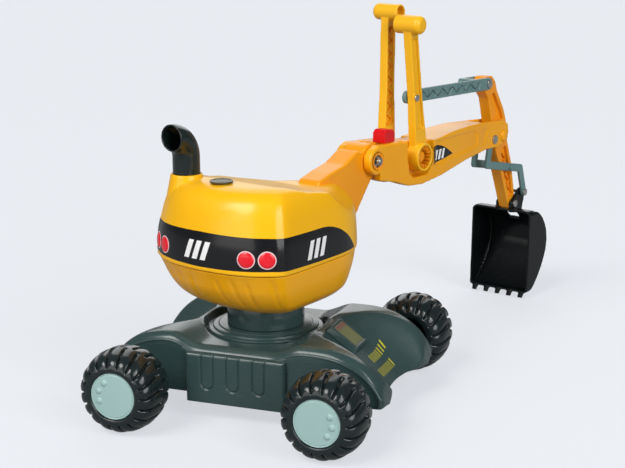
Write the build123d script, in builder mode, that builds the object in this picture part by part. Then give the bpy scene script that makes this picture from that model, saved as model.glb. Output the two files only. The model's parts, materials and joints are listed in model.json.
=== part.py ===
from build123d import *
from math import atan2, cos, degrees, hypot, radians, sin
import os

# Ride-on digger: four-wheeled base, slewing seat body, hand-worked boom, stick and bucket.
# Millimetres.  Origin on the floor at the slew axis, +X the way the base rolls, +Z up.
# The body is slewed about Z; its parts are drawn forward along the boom, left of the driver, up.

# --- driving dimensions -------------------------------------------------------------------
slew_rest = 73.5            # body's turn about the slew axis, degrees

wheel_radius = 55
wheel_width = 72
wheel_track = 360           # between wheel mid-planes
front_axle_x = 153
rear_axle_x = -121
axle_radius = 4
running_gap = 0.08          # radial play of everything that turns on a pin
face_gap = 0.6              # play between faces that slide past each other
hub_cap_radius = 30.5

chassis_front = 203         # front end of the arms
chassis_rear = -182
chassis_half_width = 112
chassis_bottom = 34
chassis_top = 112           # crest of the four arms
deck_height = 98            # dished middle that the slew ring lies on
wall = 3

ring_radius = 77            # slew ring under the body
neck_radius = 52
spindle_radius = 6

seam_height = 206           # where the two body shells meet
body_bottom = 134
seat_height = 300
body_half_width = 103

mast_pin = (218, 294)       # forward and up, as are all the pins below
lever_pin = (330, 283)      # right-hand lever turns here, on the boom
link_rear = (317, 372)
link_front = (547, 365)
stick_pin = (590, 276)
bucket_pin = (640, 154)
ear_pin = (664, 170)
bar_pin = (561, 274)
mast_head_radius = 24
mast_half = 18
boom_half = 31              # half width of the boom at the mast
boom_end_half = 19
stick_half = 9.5
pin_radius = 4

bucket_half = 55
grip_radius = 13.5
exhaust_radius = 18
exhaust_bend = 28
exhaust_place = (-75, 70)

os.makedirs("parts", exist_ok=True)

# --- placing ------------------------------------------------------------------------------
upper = Plane.XY.rotated((0, 0, slew_rest))


def side(y):
    """Upright plane through the driver's left at y: sketch forward and up, normal to the right."""
    return Plane(upper.from_local_coords(Vector(0, y, 0)), x_dir=upper.x_dir, z_dir=-upper.y_dir)


def front(x):
    """Upright plane across the boom at x forward: sketch to the left and up, normal forward."""
    return Plane(upper.from_local_coords(Vector(x, 0, 0)), x_dir=upper.y_dir, z_dir=upper.x_dir)


def level(z):
    """Level plane at height z: sketch forward and left, normal up."""
    return upper.offset(z)


def write(piece, name):
    piece.part.label = name
    export_step(piece.part, f"parts/{name}.step")


def along(a, b, t):
    """The point a fraction t of the way from a to b."""
    return (a[0] + (b[0] - a[0]) * t, a[1] + (b[1] - a[1]) * t)


def cylinder_between(y_left, y_right, centre, radius, mode=Mode.ADD):
    """A round bar across the boom from y_left to y_right."""
    with BuildSketch(side(y_left)) as disc:
        with Locations(centre):
            Circle(radius)
    extrude(disc.sketch, amount=y_left - y_right, mode=mode)


def slab(y_left, y_right, points, mode=Mode.ADD):
    """A plate of the given outline from y_left to y_right."""
    with BuildSketch(side(y_left)) as plate:
        with BuildLine():
            Polyline(*points, close=True)
        make_face()
    extrude(plate.sketch, amount=y_left - y_right, mode=mode)


# --- wheels -------------------------------------------------------------------------------
wheel_places = {
    "front_right": (front_axle_x, -1),
    "front_left": (front_axle_x, 1),
    "rear_right": (rear_axle_x, -1),
    "rear_left": (rear_axle_x, 1),
}
wheel_mid = wheel_track / 2
cap_recess = 5
hub_radius = 10


def wheel_plane(x, hand):
    """Across the axle at the wheel's middle: sketch out along the axle, then up."""
    return Plane((x, hand * wheel_mid, wheel_radius), x_dir=(0, hand, 0), z_dir=(hand, 0, 0))


for place, (x, hand) in wheel_places.items():
    half = wheel_width / 2
    plane = wheel_plane(x, hand)
    axle_line = Axis(plane.origin, plane.x_dir)
    # blow-moulded tyre and rim in one: round shoulders, open on its inner side
    with BuildPart() as wheel:
        with BuildSketch(plane):
            with BuildLine():
                Line((half - cap_recess, hub_cap_radius + 0.4), (half, hub_cap_radius + 0.4))
                Line((half, hub_cap_radius + 0.4), (half, 36))
                Spline((half, 36), (half - 12, 50), (0, wheel_radius), (12 - half, 50), (-half, 36))
                Line((-half, 36), (-half, 30))
                Line((-half, 30), (-half + wall, 30))
                Line((-half + wall, 30), (-half + wall, 36))
                Spline((-half + wall, 36), (14 - half, 47), (0, wheel_radius - wall),
                       (half - 14, 47), (half - wall, 36))
                Line((half - wall, 36), (half - cap_recess - wall, 33))
                Line((half - cap_recess - wall, 33), (half - cap_recess - wall, hub_radius))
                Line((half - cap_recess - wall, hub_radius), (-half, hub_radius))
                Line((-half, hub_radius), (-half, axle_radius + running_gap))
                Line((-half, axle_radius + running_gap), (half - cap_recess, axle_radius + running_gap))
                Line((half - cap_recess, axle_radius + running_gap),
                     (half - cap_recess, hub_cap_radius + 0.4))
            make_face()
        revolve(axis=axle_line)
    write(wheel, f"wheel_{place}")

    # snap-in hub cap: a flat disc with a raised rim and three small bumps
    with BuildPart() as cap:
        with BuildSketch(plane):
            with BuildLine():
                Polyline((half - 1.5, 0), (half - 1.5, hub_cap_radius - 2), (half, hub_cap_radius - 2),
                         (half, hub_cap_radius), (half - 4.4, hub_cap_radius),
                         (half - 4.4, hub_cap_radius - 2.5), (half - 3.5, hub_cap_radius - 2.5),
                         (half - 3.5, 0), close=True)
            make_face()
        revolve(axis=axle_line)
        face_plane = Plane((x, hand * (wheel_mid + half - 1.5), wheel_radius),
                           x_dir=(-hand, 0, 0), z_dir=(0, hand, 0))
        with Locations(face_plane):
            with PolarLocations(22, 3, start_angle=-28, angular_range=56, endpoint=True):
                Sphere(2.6)
    write(cap, f"hub_cap_{place}")

# --- axles, spacers and push nuts ---------------------------------------------------------
axle_end = wheel_mid + wheel_width / 2 - cap_recess + 1.2
for name, x in (("front_axle", front_axle_x), ("rear_axle", rear_axle_x)):
    with BuildPart() as axle:
        with BuildSketch(Plane((x, -axle_end, wheel_radius), x_dir=(1, 0, 0), z_dir=(0, 1, 0))):
            Circle(axle_radius)
        extrude(amount=2 * axle_end)
    write(axle, name)

with BuildPart() as push_nuts:
    for x, hand in wheel_places.values():
        nut_plane = Plane((x, hand * (axle_end - 0.95), wheel_radius), x_dir=(1, 0, 0), z_dir=(0, hand, 0))
        with BuildSketch(nut_plane):
            Circle(9)
            Circle(axle_radius, mode=Mode.SUBTRACT)
        extrude(amount=0.8)
write(push_nuts, "axle_push_nuts")

spacer_inner = chassis_half_width + 0.3
spacer_outer = wheel_mid - wheel_width / 2 - face_gap
with BuildPart() as wheel_spacers:
    for x, hand in wheel_places.values():
        spacer_plane = Plane((x, hand * spacer_inner, wheel_radius), x_dir=(1, 0, 0), z_dir=(0, hand, 0))
        with BuildSketch(spacer_plane):
            Circle(9)
            Circle(axle_radius + running_gap, mode=Mode.SUBTRACT)
        extrude(amount=spacer_outer - spacer_inner)
write(wheel_spacers, "wheel_spacers")

# --- chassis ------------------------------------------------------------------------------
nose_half = 36              # half width of the valley floor between two arms
nose_set_back = 20          # how far its lower edge stays behind the arm ends
panel_half = 66             # ribbed side panel, half length
panel_proud = 6
panel_bottom = 24


def arm_outline(inset):
    """Plan of the base, drawn inset by a wall: arms at the four corners, hollow between them."""
    front_x = chassis_front - inset
    rear_x = chassis_rear + inset
    half = chassis_half_width - inset
    nose = nose_half + inset
    with BuildLine() as outline:
        Polyline((front_x, half), (front_x, nose + 26), (front_x - nose_set_back, nose),
                 (front_x - nose_set_back, -nose), (front_x, -nose - 26), (front_x, -half),
                 (rear_x, -half), (rear_x, -nose - 26), (rear_x + nose_set_back, -nose),
                 (rear_x + nose_set_back, nose), (rear_x, nose + 26), (rear_x, half), close=True)
    make_face(outline.edges())


def arm_profile(inset):
    """Side view of the base: arms that rise from the middle and round down to their ends."""
    low = chassis_bottom if inset == 0 else chassis_bottom - 30
    top = chassis_top - inset
    draw_in = (42 - low) * 0.5
    with BuildLine() as outline:
        for end, hand in ((chassis_front, 1), (chassis_rear, -1)):
            Line((hand * 60, deck_height - inset), (end - hand * 107, top))
            Line((end - hand * 107, top), (end - hand * 93, top))
            Spline((end - hand * 93, top), (end - hand * (52 + inset / 2), 104 - inset),
                   (end - hand * (19 + inset * 0.8), 80 - inset * 0.7), (end - hand * inset, 42),
                   tangents=((hand, 0), (hand * 0.1, -1)))
            Line((end - hand * inset, 42), (end - hand * (inset + draw_in), low))
        Line((60, deck_height - inset), (-60, deck_height - inset))
        Line((chassis_front - inset - draw_in, low), (chassis_rear + inset + draw_in, low))
    make_face(outline.edges())


def nose_cut(inset, end_x, hand):
    """Valley between two arms: a trough with leaning sides that falls steeply to the end."""
    floor_half = nose_half + inset
    rim_half = floor_half + 40
    start_x = ring_radius + 7
    start_z = chassis_top + 1 - inset
    run = abs(end_x) - nose_set_back - start_x
    with BuildSketch(Plane((hand * start_x, 0, 0), x_dir=(0, 1, 0), z_dir=(1, 0, 0))) as trough:
        with BuildLine():
            Polyline((-floor_half, start_z), (floor_half, start_z), (rim_half, start_z + 60),
                     (-rim_half, start_z + 60), close=True)
        make_face()
    fall = Vector(hand * run, 0, 44 - start_z - inset)
    extrude(trough.sketch, amount=fall.length * 1.7, dir=fall.normalized(), mode=Mode.SUBTRACT)


def base_block(inset):
    """The base as a solid block, drawn inset by a wall thickness."""
    with BuildPart() as block:
        with BuildSketch(Plane.XY.offset(chassis_bottom - (30 if inset else 0))):
            arm_outline(inset)
        extrude(amount=chassis_top - chassis_bottom + 30)
        with BuildSketch(Plane((0, -200, 0), x_dir=(1, 0, 0), z_dir=(0, -1, 0))):
            arm_profile(inset)
        extrude(amount=-400, mode=Mode.INTERSECT)
        with BuildSketch(Plane.XY.offset(deck_height - inset)):
            Circle(ring_radius + 2 + inset)
        extrude(amount=40, mode=Mode.SUBTRACT)
        nose_cut(inset, chassis_front, 1)
        nose_cut(inset, chassis_rear, -1)
    return block


block_outer = base_block(0)
block_inner = base_block(wall)

with BuildPart() as chassis:
    add(block_outer.part)
    # ribbed side panels standing proud between the wheels
    for hand in (-1, 1):
        with BuildSketch(Plane((0, hand * (chassis_half_width - 1), 0), x_dir=(hand, 0, 0),
                               z_dir=(0, -hand, 0)).offset(-panel_proud - 1)):
            with BuildLine():
                Polyline((-panel_half, panel_bottom), (panel_half, panel_bottom),
                         (panel_half, 80), (panel_half - 6, 86), (6 - panel_half, 86),
                         (-panel_half, 80), close=True)
            make_face()
        extrude(amount=panel_proud + 1.2)
    add(block_inner.part, mode=Mode.SUBTRACT)
    for hand in (-1, 1):
        with BuildSketch(Plane((0, hand * (chassis_half_width + panel_proud), 0), x_dir=(hand, 0, 0),
                               z_dir=(0, hand, 0))):
            for x in (-30, 4, 38):
                with Locations((x, 58)):
                    SlotOverall(46, 15, rotation=90)
                with Locations((x, 60)):
                    SlotOverall(44, 11, rotation=90, mode=Mode.SUBTRACT)
        extrude(amount=-1.6, mode=Mode.SUBTRACT)
    # axle tunnels through both side walls
    for x in (front_axle_x, rear_axle_x):
        for hand in (-1, 1):
            with BuildSketch(Plane((x, hand * chassis_half_width, wheel_radius), x_dir=(1, 0, 0),
                                   z_dir=(0, -hand, 0))):
                Circle(12)
            extrude(amount=26)
        with BuildSketch(Plane((x, -200, wheel_radius), x_dir=(1, 0, 0), z_dir=(0, 1, 0))):
            Circle(axle_radius + 0.05)
        extrude(amount=400, mode=Mode.SUBTRACT)
    # boss that carries the slew spindle
    with BuildSketch(Plane.XY.offset(chassis_bottom + 8)):
        Circle(20)
    extrude(amount=deck_height - chassis_bottom - 8)
    with BuildSketch(Plane.XY.offset(chassis_bottom)):
        Circle(spindle_radius + 0.3)
    extrude(amount=100, mode=Mode.SUBTRACT)
write(chassis, "chassis_shell")

# closing plate under the base, with sunk seats for the screw heads
under_thickness = 3
under_bottom = chassis_bottom + 1
with BuildPart() as underplate:
    with BuildSketch(Plane.XY.offset(under_bottom)):
        RectangleRounded(220, 2 * (chassis_half_width - wall) - 60, 14)
        Circle(24, mode=Mode.SUBTRACT)
        with GridLocations(150, 100, 2, 2):
            Circle(2.2, mode=Mode.SUBTRACT)
    extrude(amount=under_thickness)
    with GridLocations(150, 100, 2, 2):
        with Locations((0, 0, under_bottom)):
            Cylinder(4.3, 2.1, align=(Align.CENTER, Align.CENTER, Align.MIN), mode=Mode.SUBTRACT)
        with Locations((0, 0, under_bottom + under_thickness)):
            Cylinder(5, deck_height - wall - under_bottom - under_thickness - 0.1,
                     align=(Align.CENTER, Align.CENTER, Align.MIN))
            Cylinder(1.4, 30, align=(Align.CENTER, Align.CENTER, Align.MIN), mode=Mode.SUBTRACT)
write(underplate, "underplate")

with BuildPart() as underplate_screws:
    with GridLocations(150, 100, 2, 2):
        with Locations((0, 0, under_bottom + 0.1)):
            Cylinder(4, 2, align=(Align.CENTER, Align.CENTER, Align.MIN))
            Cylinder(1.35, 24, align=(Align.CENTER, Align.CENTER, Align.MIN))
write(underplate_screws, "underplate_screws")

# raised label block on the steep nose, with a sunk field for a label
nose_start = (ring_radius + 7, chassis_top + 1)
nose_end = (chassis_front - nose_set_back, 44)
nose_slope = atan2(nose_start[1] - nose_end[1], nose_end[0] - nose_start[0])
plate_centre = along(nose_start, nose_end, 0.29)
plate_rise = 9.5
nose_plane = Plane((plate_centre[0] + 0.05 * sin(nose_slope), 2, plate_centre[1] + 0.05 * cos(nose_slope)),
                   x_dir=(cos(nose_slope), 0, -sin(nose_slope)), z_dir=(sin(nose_slope), 0, cos(nose_slope)))
with BuildPart() as nose_plate:
    with BuildSketch(nose_plane):
        RectangleRounded(52, 46, 4)
    with BuildSketch(nose_plane.offset(plate_rise)):
        RectangleRounded(46, 40, 3)
    loft()
    with BuildSketch(nose_plane.offset(plate_rise)):
        RectangleRounded(40, 34, 2)
    extrude(amount=-0.8, mode=Mode.SUBTRACT)
    with BuildSketch(nose_plane):
        RectangleRounded(42, 36, 2)
    extrude(amount=plate_rise - 3, mode=Mode.SUBTRACT)
write(nose_plate, "nose_plate")

# --- slew ring, collar and spindle --------------------------------------------------------
ring_low = deck_height
ring_top = 106
with BuildPart() as slew_ring:
    with BuildSketch(Plane.XZ):
        with BuildLine():
            Polyline((22, ring_low), (ring_radius, ring_low), (ring_radius, ring_low + 2.5),
                     (ring_radius - 1, ring_low + 3.5), (ring_radius - 6, ring_low + 3.5),
                     (ring_radius - 6, ring_low + 5.5), (ring_radius - 7, ring_low + 6.5),
                     (ring_radius - 13, ring_low + 6.5), (ring_radius - 14, ring_top),
                     (22, ring_top), close=True)
        make_face()
    revolve(axis=Axis.Z)
write(slew_ring, "slew_ring")

collar_screw_ring = 38
with BuildPart() as slew_collar:
    with BuildSketch(Plane.XY.offset(ring_top + face_gap)):
        Circle(neck_radius)
        Circle(neck_radius - 5, mode=Mode.SUBTRACT)
    extrude(amount=body_bottom - ring_top - face_gap - 0.1)
    with BuildSketch(Plane.XY.offset(body_bottom - 4.1)):
        Circle(neck_radius)
        Circle(spindle_radius + running_gap, mode=Mode.SUBTRACT)
        with Locations(Rotation(0, 0, slew_rest)):
            with PolarLocations(collar_screw_ring, 4, start_angle=45):
                Circle(1.8, mode=Mode.SUBTRACT)
    extrude(amount=4)
    with BuildSketch(Plane.XY.offset(ring_top + face_gap)):
        Circle(14)
        Circle(spindle_radius + running_gap, mode=Mode.SUBTRACT)
    extrude(amount=body_bottom - 4.1 - ring_top - face_gap)
write(slew_collar, "slew_collar")

with BuildPart() as slew_spindle:
    with BuildSketch(Plane.XY.offset(chassis_bottom + 2.5)):
        RegularPolygon(9, 6)
    extrude(amount=5.4)
    with BuildSketch(Plane.XY.offset(chassis_bottom + 7.9)):
        Circle(spindle_radius)
    extrude(amount=body_bottom + 19 - chassis_bottom - 7.9)
write(slew_spindle, "slew_spindle")

with BuildPart() as slew_nut:
    with BuildSketch(Plane.XY.offset(body_bottom + 8)):
        RegularPolygon(9.5, 6)
        Circle(spindle_radius, mode=Mode.SUBTRACT)
    extrude(amount=9)
write(slew_nut, "slew_nut")

with BuildPart() as slew_washer:
    with BuildSketch(Plane.XY.offset(body_bottom + 4.4)):
        Circle(17)
        Circle(spindle_radius + running_gap, mode=Mode.SUBTRACT)
    extrude(amount=3)
write(slew_washer, "slew_washer")

# screws that hold the body on the collar
with BuildPart() as collar_screws:
    with BuildSketch(level(body_bottom - 3.9)):
        with PolarLocations(collar_screw_ring, 4, start_angle=45):
            Circle(1.75)
    extrude(amount=8)
    with BuildSketch(level(body_bottom + 4.05)):
        with PolarLocations(collar_screw_ring, 4, start_angle=45):
            Circle(4)
    extrude(amount=2.2)
write(collar_screws, "collar_screws")

# --- body shells --------------------------------------------------------------------------
# (height, scale of the seam outline, how far the section lies forward)
lower_sections = ((body_bottom, 0.56, 16), (141, 0.73, 18), (151, 0.84, 14), (162, 0.905, 9), (176, 0.96, 5),
                  (190, 0.99, 3), (seam_height - 1, 1.025, 0))
upper_sections = ((seam_height, 1.035, 0), (222, 1.035, 0), (242, 1.025, 0), (262, 0.985, 0), (278, 0.955, 0),
                  (292, 0.91, 0), (seat_height + 14, 0.80, 0))
seat_line = ((-160, 310), (-62, 310), (-22, 298), (76, 281), (180, 275))


def body_outline(scale, forward=0):
    """Plan of the body: bowed back, rounded corners, sides drawn in to the mast."""
    corner = (-96 * scale + forward, body_half_width * scale)
    flank = (62 * scale + forward, (body_half_width - 3) * scale)
    bow = (150 * scale + forward, 36 * scale)
    back = (-129 * scale + forward, 0)
    with BuildLine() as outline:
        Spline((corner[0] - 6, corner[1] - 12), back, (corner[0] - 6, 12 - corner[1]))
        Spline((corner[0] - 6, 12 - corner[1]), (corner[0] + 2, 3 - corner[1]),
               (corner[0] + 16, -corner[1] - 1))
        Line((corner[0] + 16, -corner[1] - 1), (flank[0] - 30, -flank[1] - 1))
        Spline((flank[0] - 30, -flank[1] - 1), (flank[0] + 22, -flank[1] + 16), (bow[0], -bow[1]))
        Line((bow[0], -bow[1]), (bow[0], bow[1]))
        Spline((bow[0], bow[1]), (flank[0] + 22, flank[1] - 16), (flank[0] - 30, flank[1] + 1))
        Line((flank[0] - 30, flank[1] + 1), (corner[0] + 16, corner[1] + 1))
        Spline((corner[0] + 16, corner[1] + 1), (corner[0] + 2, corner[1] - 3),
               (corner[0] - 6, corner[1] - 12))
    make_face(outline.edges())


# mast: a column standing in the body's front, with a round head for the boom pivot
head_x, head_z = mast_pin
foot_x = 84
mast_flare = ((mast_half, 222), (30, 200), (33, 186))


def mast_front(gap):
    """Front view of the mast: upright sides that flare out to its foot."""
    right_side = [(y + gap, z) for y, z in mast_flare]
    left_side = [(-y, z) for y, z in reversed(right_side)]
    with BuildLine() as outline:
        Polyline((-mast_half - gap, 330), (mast_half + gap, 330), *right_side, *left_side, close=True)
    make_face(outline.edges())


with BuildPart() as mast:
    with BuildSketch(side(48)) as mast_side:
        with BuildLine():
            Polyline((foot_x, 268), (98, 283), (122, 290), (156, 297), (188, 312), (head_x, head_z + 4),
                     (head_x + 16, head_z - 18), (219, 264), (176, 212), (160, 190), (130, 190), close=True)
        make_face()
        with Locations(mast_pin):
            Circle(mast_head_radius)
    extrude(amount=96)
    with BuildSketch(front(60)) as flare:
        mast_front(0)
    extrude(flare.sketch, amount=200, mode=Mode.INTERSECT)
    cylinder_between(60, -60, mast_pin, pin_radius + 1 + running_gap, mode=Mode.SUBTRACT)
write(mast, "mast")

with BuildPart() as lower_shell:
    for z, scale, forward in lower_sections:
        with BuildSketch(level(z)):
            body_outline(scale, forward)
    loft()
    # hollow of the shell
    for z, scale, forward in ((body_bottom + 4, 0.53, 16), (155, 0.82, 13), (176, 0.925, 5), (seam_height, 0.985, 0)):
        with BuildSketch(level(z)):
            body_outline(scale, forward)
    loft(mode=Mode.SUBTRACT)
    with BuildSketch(level(body_bottom - 1)):
        Circle(spindle_radius + 0.4)
        with PolarLocations(collar_screw_ring, 4, start_angle=45):
            Circle(2.2)
    extrude(amount=10, mode=Mode.SUBTRACT)
    with BuildSketch(level(185.7)):
        with Locations((120, 0)):
            Rectangle(120, 66.6)
    extrude(amount=30, mode=Mode.SUBTRACT)
    # small feet round the bottom edge
    for x, y in ((92, -40), (96, 30), (60, -56), (-30, -50), (-52, 26), (30, -62)):
        with BuildSketch(level(body_bottom - 7)):
            with Locations((x, y)):
                Circle(4)
        extrude(amount=9)
write(lower_shell, "body_lower_shell")


def above_seat(drop):
    """Everything above the seat line, lowered by drop, is taken off."""
    line = [(x, z - drop) for x, z in seat_line]
    slab(140, -140, line + [(180, 360), (-160, 360)], mode=Mode.SUBTRACT)


with BuildPart() as upper_hollow:
    for z, scale in ((seam_height - 1, 0.99), (242, 0.985), (262, 0.945), (278, 0.915), (292, 0.87),
                     (seat_height + 10, 0.76)):
        with BuildSketch(level(z)):
            body_outline(scale)
    loft()
    above_seat(wall + 1)

with BuildPart() as upper_shell:
    for z, scale, forward in upper_sections:
        with BuildSketch(level(z)):
            body_outline(scale, forward)
    loft()
    above_seat(0)
    add(upper_hollow.part, mode=Mode.SUBTRACT)
    # raised seat for the exhaust pipe
    with BuildSketch(level(296)):
        with Locations(exhaust_place):
            Circle(exhaust_radius + 3)
    extrude(amount=16)
    with BuildSketch(level(290)):
        with Locations(exhaust_place):
            Circle(exhaust_radius - 3)
    extrude(amount=40, mode=Mode.SUBTRACT)
    # opening that the mast stands in
    with BuildSketch(front(60)) as opening:
        mast_front(0.3)
    extrude(opening.sketch, amount=160, mode=Mode.SUBTRACT)
write(upper_shell, "body_upper_shell")

# round badge on the ridge behind the seat
badge_x, badge_y = -80, 6
with BuildPart() as seat_badge:
    with BuildSketch(level(seat_line[0][1] + 0.05)):
        with Locations((badge_x, badge_y)):
            Circle(15)
    extrude(amount=2)
    with BuildSketch(level(seat_line[0][1] + 2.05)):
        with Locations((badge_x, badge_y)):
            Circle(12.5)
    extrude(amount=-0.6, mode=Mode.SUBTRACT)
write(seat_badge, "seat_badge")

# --- exhaust pipe -------------------------------------------------------------------------
pipe_x, pipe_y = exhaust_place
pipe_low = 312.1
pipe_bend_start = 335
with BuildPart() as exhaust:
    with BuildLine(side(pipe_y)) as pipe_path:
        Line((pipe_x, pipe_low), (pipe_x, pipe_bend_start))
        RadiusArc((pipe_x, pipe_bend_start), (pipe_x - exhaust_bend, pipe_bend_start + exhaust_bend),
                  -exhaust_bend)
    with BuildSketch(level(pipe_low)):
        with Locations(exhaust_place):
            Circle(exhaust_radius)
            Circle(exhaust_radius - 2.2, mode=Mode.SUBTRACT)
    sweep(path=pipe_path.line)
write(exhaust, "exhaust_pipe")

# --- boom ---------------------------------------------------------------------------------
pin_hole = pin_radius + running_gap
pocket_half = 16            # half width left between the two lever pockets
cheek = 4                   # thickness of the fork plates at both ends
slot_half = boom_end_half - cheek
mast_slot = mast_half + face_gap

boom_side = [(226, 264), (262, 256), (300, 244), (334, 241), (391, 246), (470, 256), (540, 261),
             (575, 259), (600, 266), (607, 280), (604, 294), (590, 301), (540, 305), (480, 308),
             (420, 307), (367, 303), (330, 306), (276, 312), (218, 316)]

pad_top = 314.5
lock_y = -10
lock_travel = 8
stem_front = 268

with BuildPart() as boom:
    slab(boom_half, -boom_half, boom_side)
    with BuildSketch(level(220)):
        with BuildLine():
            Polyline((190, boom_half), (380, boom_half), (540, boom_end_half), (640, boom_end_half),
                     (640, -boom_end_half), (540, -boom_end_half), (380, -boom_half),
                     (190, -boom_half), close=True)
        make_face()
    extrude(amount=120, mode=Mode.INTERSECT)
    # round bosses beside the mast head
    cylinder_between(boom_half, -boom_half, mast_pin, 20)
    # pad for the red lock
    slab(-2, -27, [(238, 300), (284, 300), (284, pad_top), (238, pad_top)])
    # the boom is hollow and open below
    slab(pocket_half - wall, wall - pocket_half, [(258, 200), (540, 200), (540, 300), (480, 303.5),
                                                   (420, 302.5), (367, 298.5), (330, 301), (258, 309)],
         mode=Mode.SUBTRACT)
    slab(boom_half - wall, pocket_half, [(258, 200), (284, 200), (284, 306), (258, 308)],
         mode=Mode.SUBTRACT)
    slab(-pocket_half, wall - boom_half, [(258, 200), (284, 200), (284, 306), (258, 308)],
         mode=Mode.SUBTRACT)
    # slot that the mast head turns in, and slot that the stick swings in
    slab(mast_slot, -mast_slot, [(180, 240), (250, 240), (250, 330), (180, 330)], mode=Mode.SUBTRACT)
    slab(slot_half, -slot_half, [(530, 240), (640, 240), (640, 330), (530, 330)], mode=Mode.SUBTRACT)
    # pockets for the hubs of the two levers
    for y_left, y_right in ((boom_half + 1, pocket_half), (-pocket_half, -boom_half - 1)):
        slab(y_left, y_right, [(294, 330), (294, 292), (300, 262), (312, 254), (348, 254), (364, 268),
                               (366, 330)], mode=Mode.SUBTRACT)
    # shallow fields on both flanks, in front of the pockets
    for y_left, y_right in ((boom_half + 1, boom_half - 1.5), (1.5 - boom_half, -boom_half - 1)):
        slab(y_left, y_right, [(372, 298), (372, 258), (392, 254), (440, 258), (440, 302), (420, 301)],
             mode=Mode.SUBTRACT)
    # slot for the stem of the lock
    slab(lock_y + 2.2, lock_y - 2.2, [(stem_front - 6.3, 300), (stem_front + lock_travel + 0.5, 300),
                                      (stem_front + lock_travel + 0.5, 330), (stem_front - 6.3, 330)],
         mode=Mode.SUBTRACT)
    # pin holes
    cylinder_between(60, -60, mast_pin, pin_radius + 1.05, mode=Mode.SUBTRACT)
    for y_left, y_right in ((60, boom_half - 5), (5 - boom_half, -60)):
        cylinder_between(y_left, y_right, mast_pin, 13, mode=Mode.SUBTRACT)
    for centre in (lever_pin, stick_pin, bar_pin):
        cylinder_between(60, -60, centre, pin_radius + 0.05, mode=Mode.SUBTRACT)
write(boom, "boom")

# red slide on top of the boom: a knob, a stem through the slot and a foot below
with BuildPart() as red_lock:
    slab(-4, -25, [(243, pad_top + 0.3), (268, pad_top + 0.3), (268, 328), (263, 333), (248, 334),
                   (243, 329)])
    slab(lock_y + 2, lock_y - 2, [(stem_front - 6, 303), (stem_front, 303), (stem_front, 320),
                                  (stem_front - 6, 320)])
    slab(lock_y + 6, lock_y - 2.6, [(stem_front - 9, 302), (stem_front + 3, 302), (stem_front + 3, 305.3),
                                    (stem_front - 9, 305.3)])
    for x in (248, 254, 260):
        slab(-3, -26, [(x, 331), (x + 2, 331), (x + 2, 335), (x, 335)], mode=Mode.SUBTRACT)
write(red_lock, "red_lock")


def bolt(name, centre, y_head, y_end, radius, head_radius, head):
    """A steel bolt across the boom, its round head on the right, and its own dome nut."""
    with BuildPart() as shank:
        cylinder_between(y_end, y_head, centre, radius)
        cylinder_between(y_head, y_head - head, centre, head_radius)
    write(shank, name)


bolt("boom_pivot_bolt", mast_pin, 4.95 - boom_half, boom_half - 1.4, pin_radius + 1, 9, 2.8)
with BuildPart() as boom_pivot_nut:
    with BuildSketch(side(boom_half - 0.6)):
        with Locations(mast_pin):
            RegularPolygon(9.5, 6)
            Circle(pin_radius + 1, mode=Mode.SUBTRACT)
    extrude(amount=4.1)
write(boom_pivot_nut, "boom_pivot_nut")

# --- hand levers --------------------------------------------------------------------------
lever_mid = 23              # both levers stand this far from the boom's middle
lever_half = 6.6
hub_out = 38
hub_radius_lever = 21
left_top = (319, 494)
right_top = (309, 479)
grip_half = 22


def stem(y_a, y_b, spine, widths, mode=Mode.ADD):
    """A tapering bar along the spine, between two faces."""
    left = [(x - w / 2, z) for (x, z), w in zip(spine, widths)]
    right = [(x + w / 2, z) for (x, z), w in zip(spine, widths)]
    slab(y_a, y_b, left + right[::-1], mode=mode)


def lever(name, hand, top, lean, grip_radius_here):
    """A moulded hand lever: hub, channelled stem and a cross grip with one open end."""
    foot = (lever_pin[0] + lean, lever_pin[1] + 14)
    mid = along(foot, top, 0.4)
    neck = (top[0], top[1] - 8)
    outer = hand * (lever_mid + lever_half)
    inner = hand * (lever_mid - lever_half)
    y_left, y_right = max(outer, inner), min(outer, inner)
    with BuildPart() as piece:
        stem(y_left, y_right, (foot, mid, neck), (30, 21, 20))
        # hub: an open cup on the outer side
        cup_end = hand * hub_out
        cylinder_between(max(cup_end, inner), min(cup_end, inner), lever_pin, hub_radius_lever)
        cup_floor = hand * (lever_mid - 2.2)
        cylinder_between(max(cup_end, cup_floor) + (hand > 0), min(cup_end, cup_floor) - (hand < 0),
                         lever_pin, hub_radius_lever - 4, mode=Mode.SUBTRACT)
        # channels down both faces of the stem
        low = along(foot, neck, 0.16)
        high = along(foot, neck, 0.93)
        middle = along(foot, neck, 0.5)
        for face in (outer, inner):
            deep = face - hand * 4 if face == outer else face + hand * 4
            stem(max(face, deep) + 0.5 * (face > deep), min(face, deep) - 0.5 * (face < deep),
                 (low, middle, high), (18, 14, 13), Mode.SUBTRACT)
        # grip across the top, hollow from its open end
        grip_left = hand * lever_mid + grip_half
        grip_right = hand * lever_mid - grip_half
        cylinder_between(grip_left, grip_right, top, grip_radius_here)
        open_end = grip_right if hand > 0 else grip_left
        reach = open_end - hand * 0.5
        stop = open_end + hand * 12
        cylinder_between(max(reach, stop), min(reach, stop), top, grip_radius_here - 3, mode=Mode.SUBTRACT)
        cylinder_between(60, -60, lever_pin, pin_radius + running_gap, mode=Mode.SUBTRACT)
        if hand < 0:
            cylinder_between(60, -60, link_rear, pin_radius - 1 + 0.03, mode=Mode.SUBTRACT)
    write(piece, name)


lever("left_lever", 1, left_top, -14, grip_radius - 1.5)
lever("right_lever", -1, right_top, 2, grip_radius)

bolt("lever_pivot_bolt", lever_pin, -lever_mid + 1.9, lever_mid + 5, pin_radius, 9, 3)
with BuildPart() as lever_pivot_nut:
    with BuildSketch(side(lever_mid + 2.2)):
        with Locations(lever_pin):
            RegularPolygon(7.5, 6)
            Circle(pin_radius, mode=Mode.SUBTRACT)
    extrude(amount=4.35)
write(lever_pivot_nut, "lever_pivot_nut")


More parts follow.
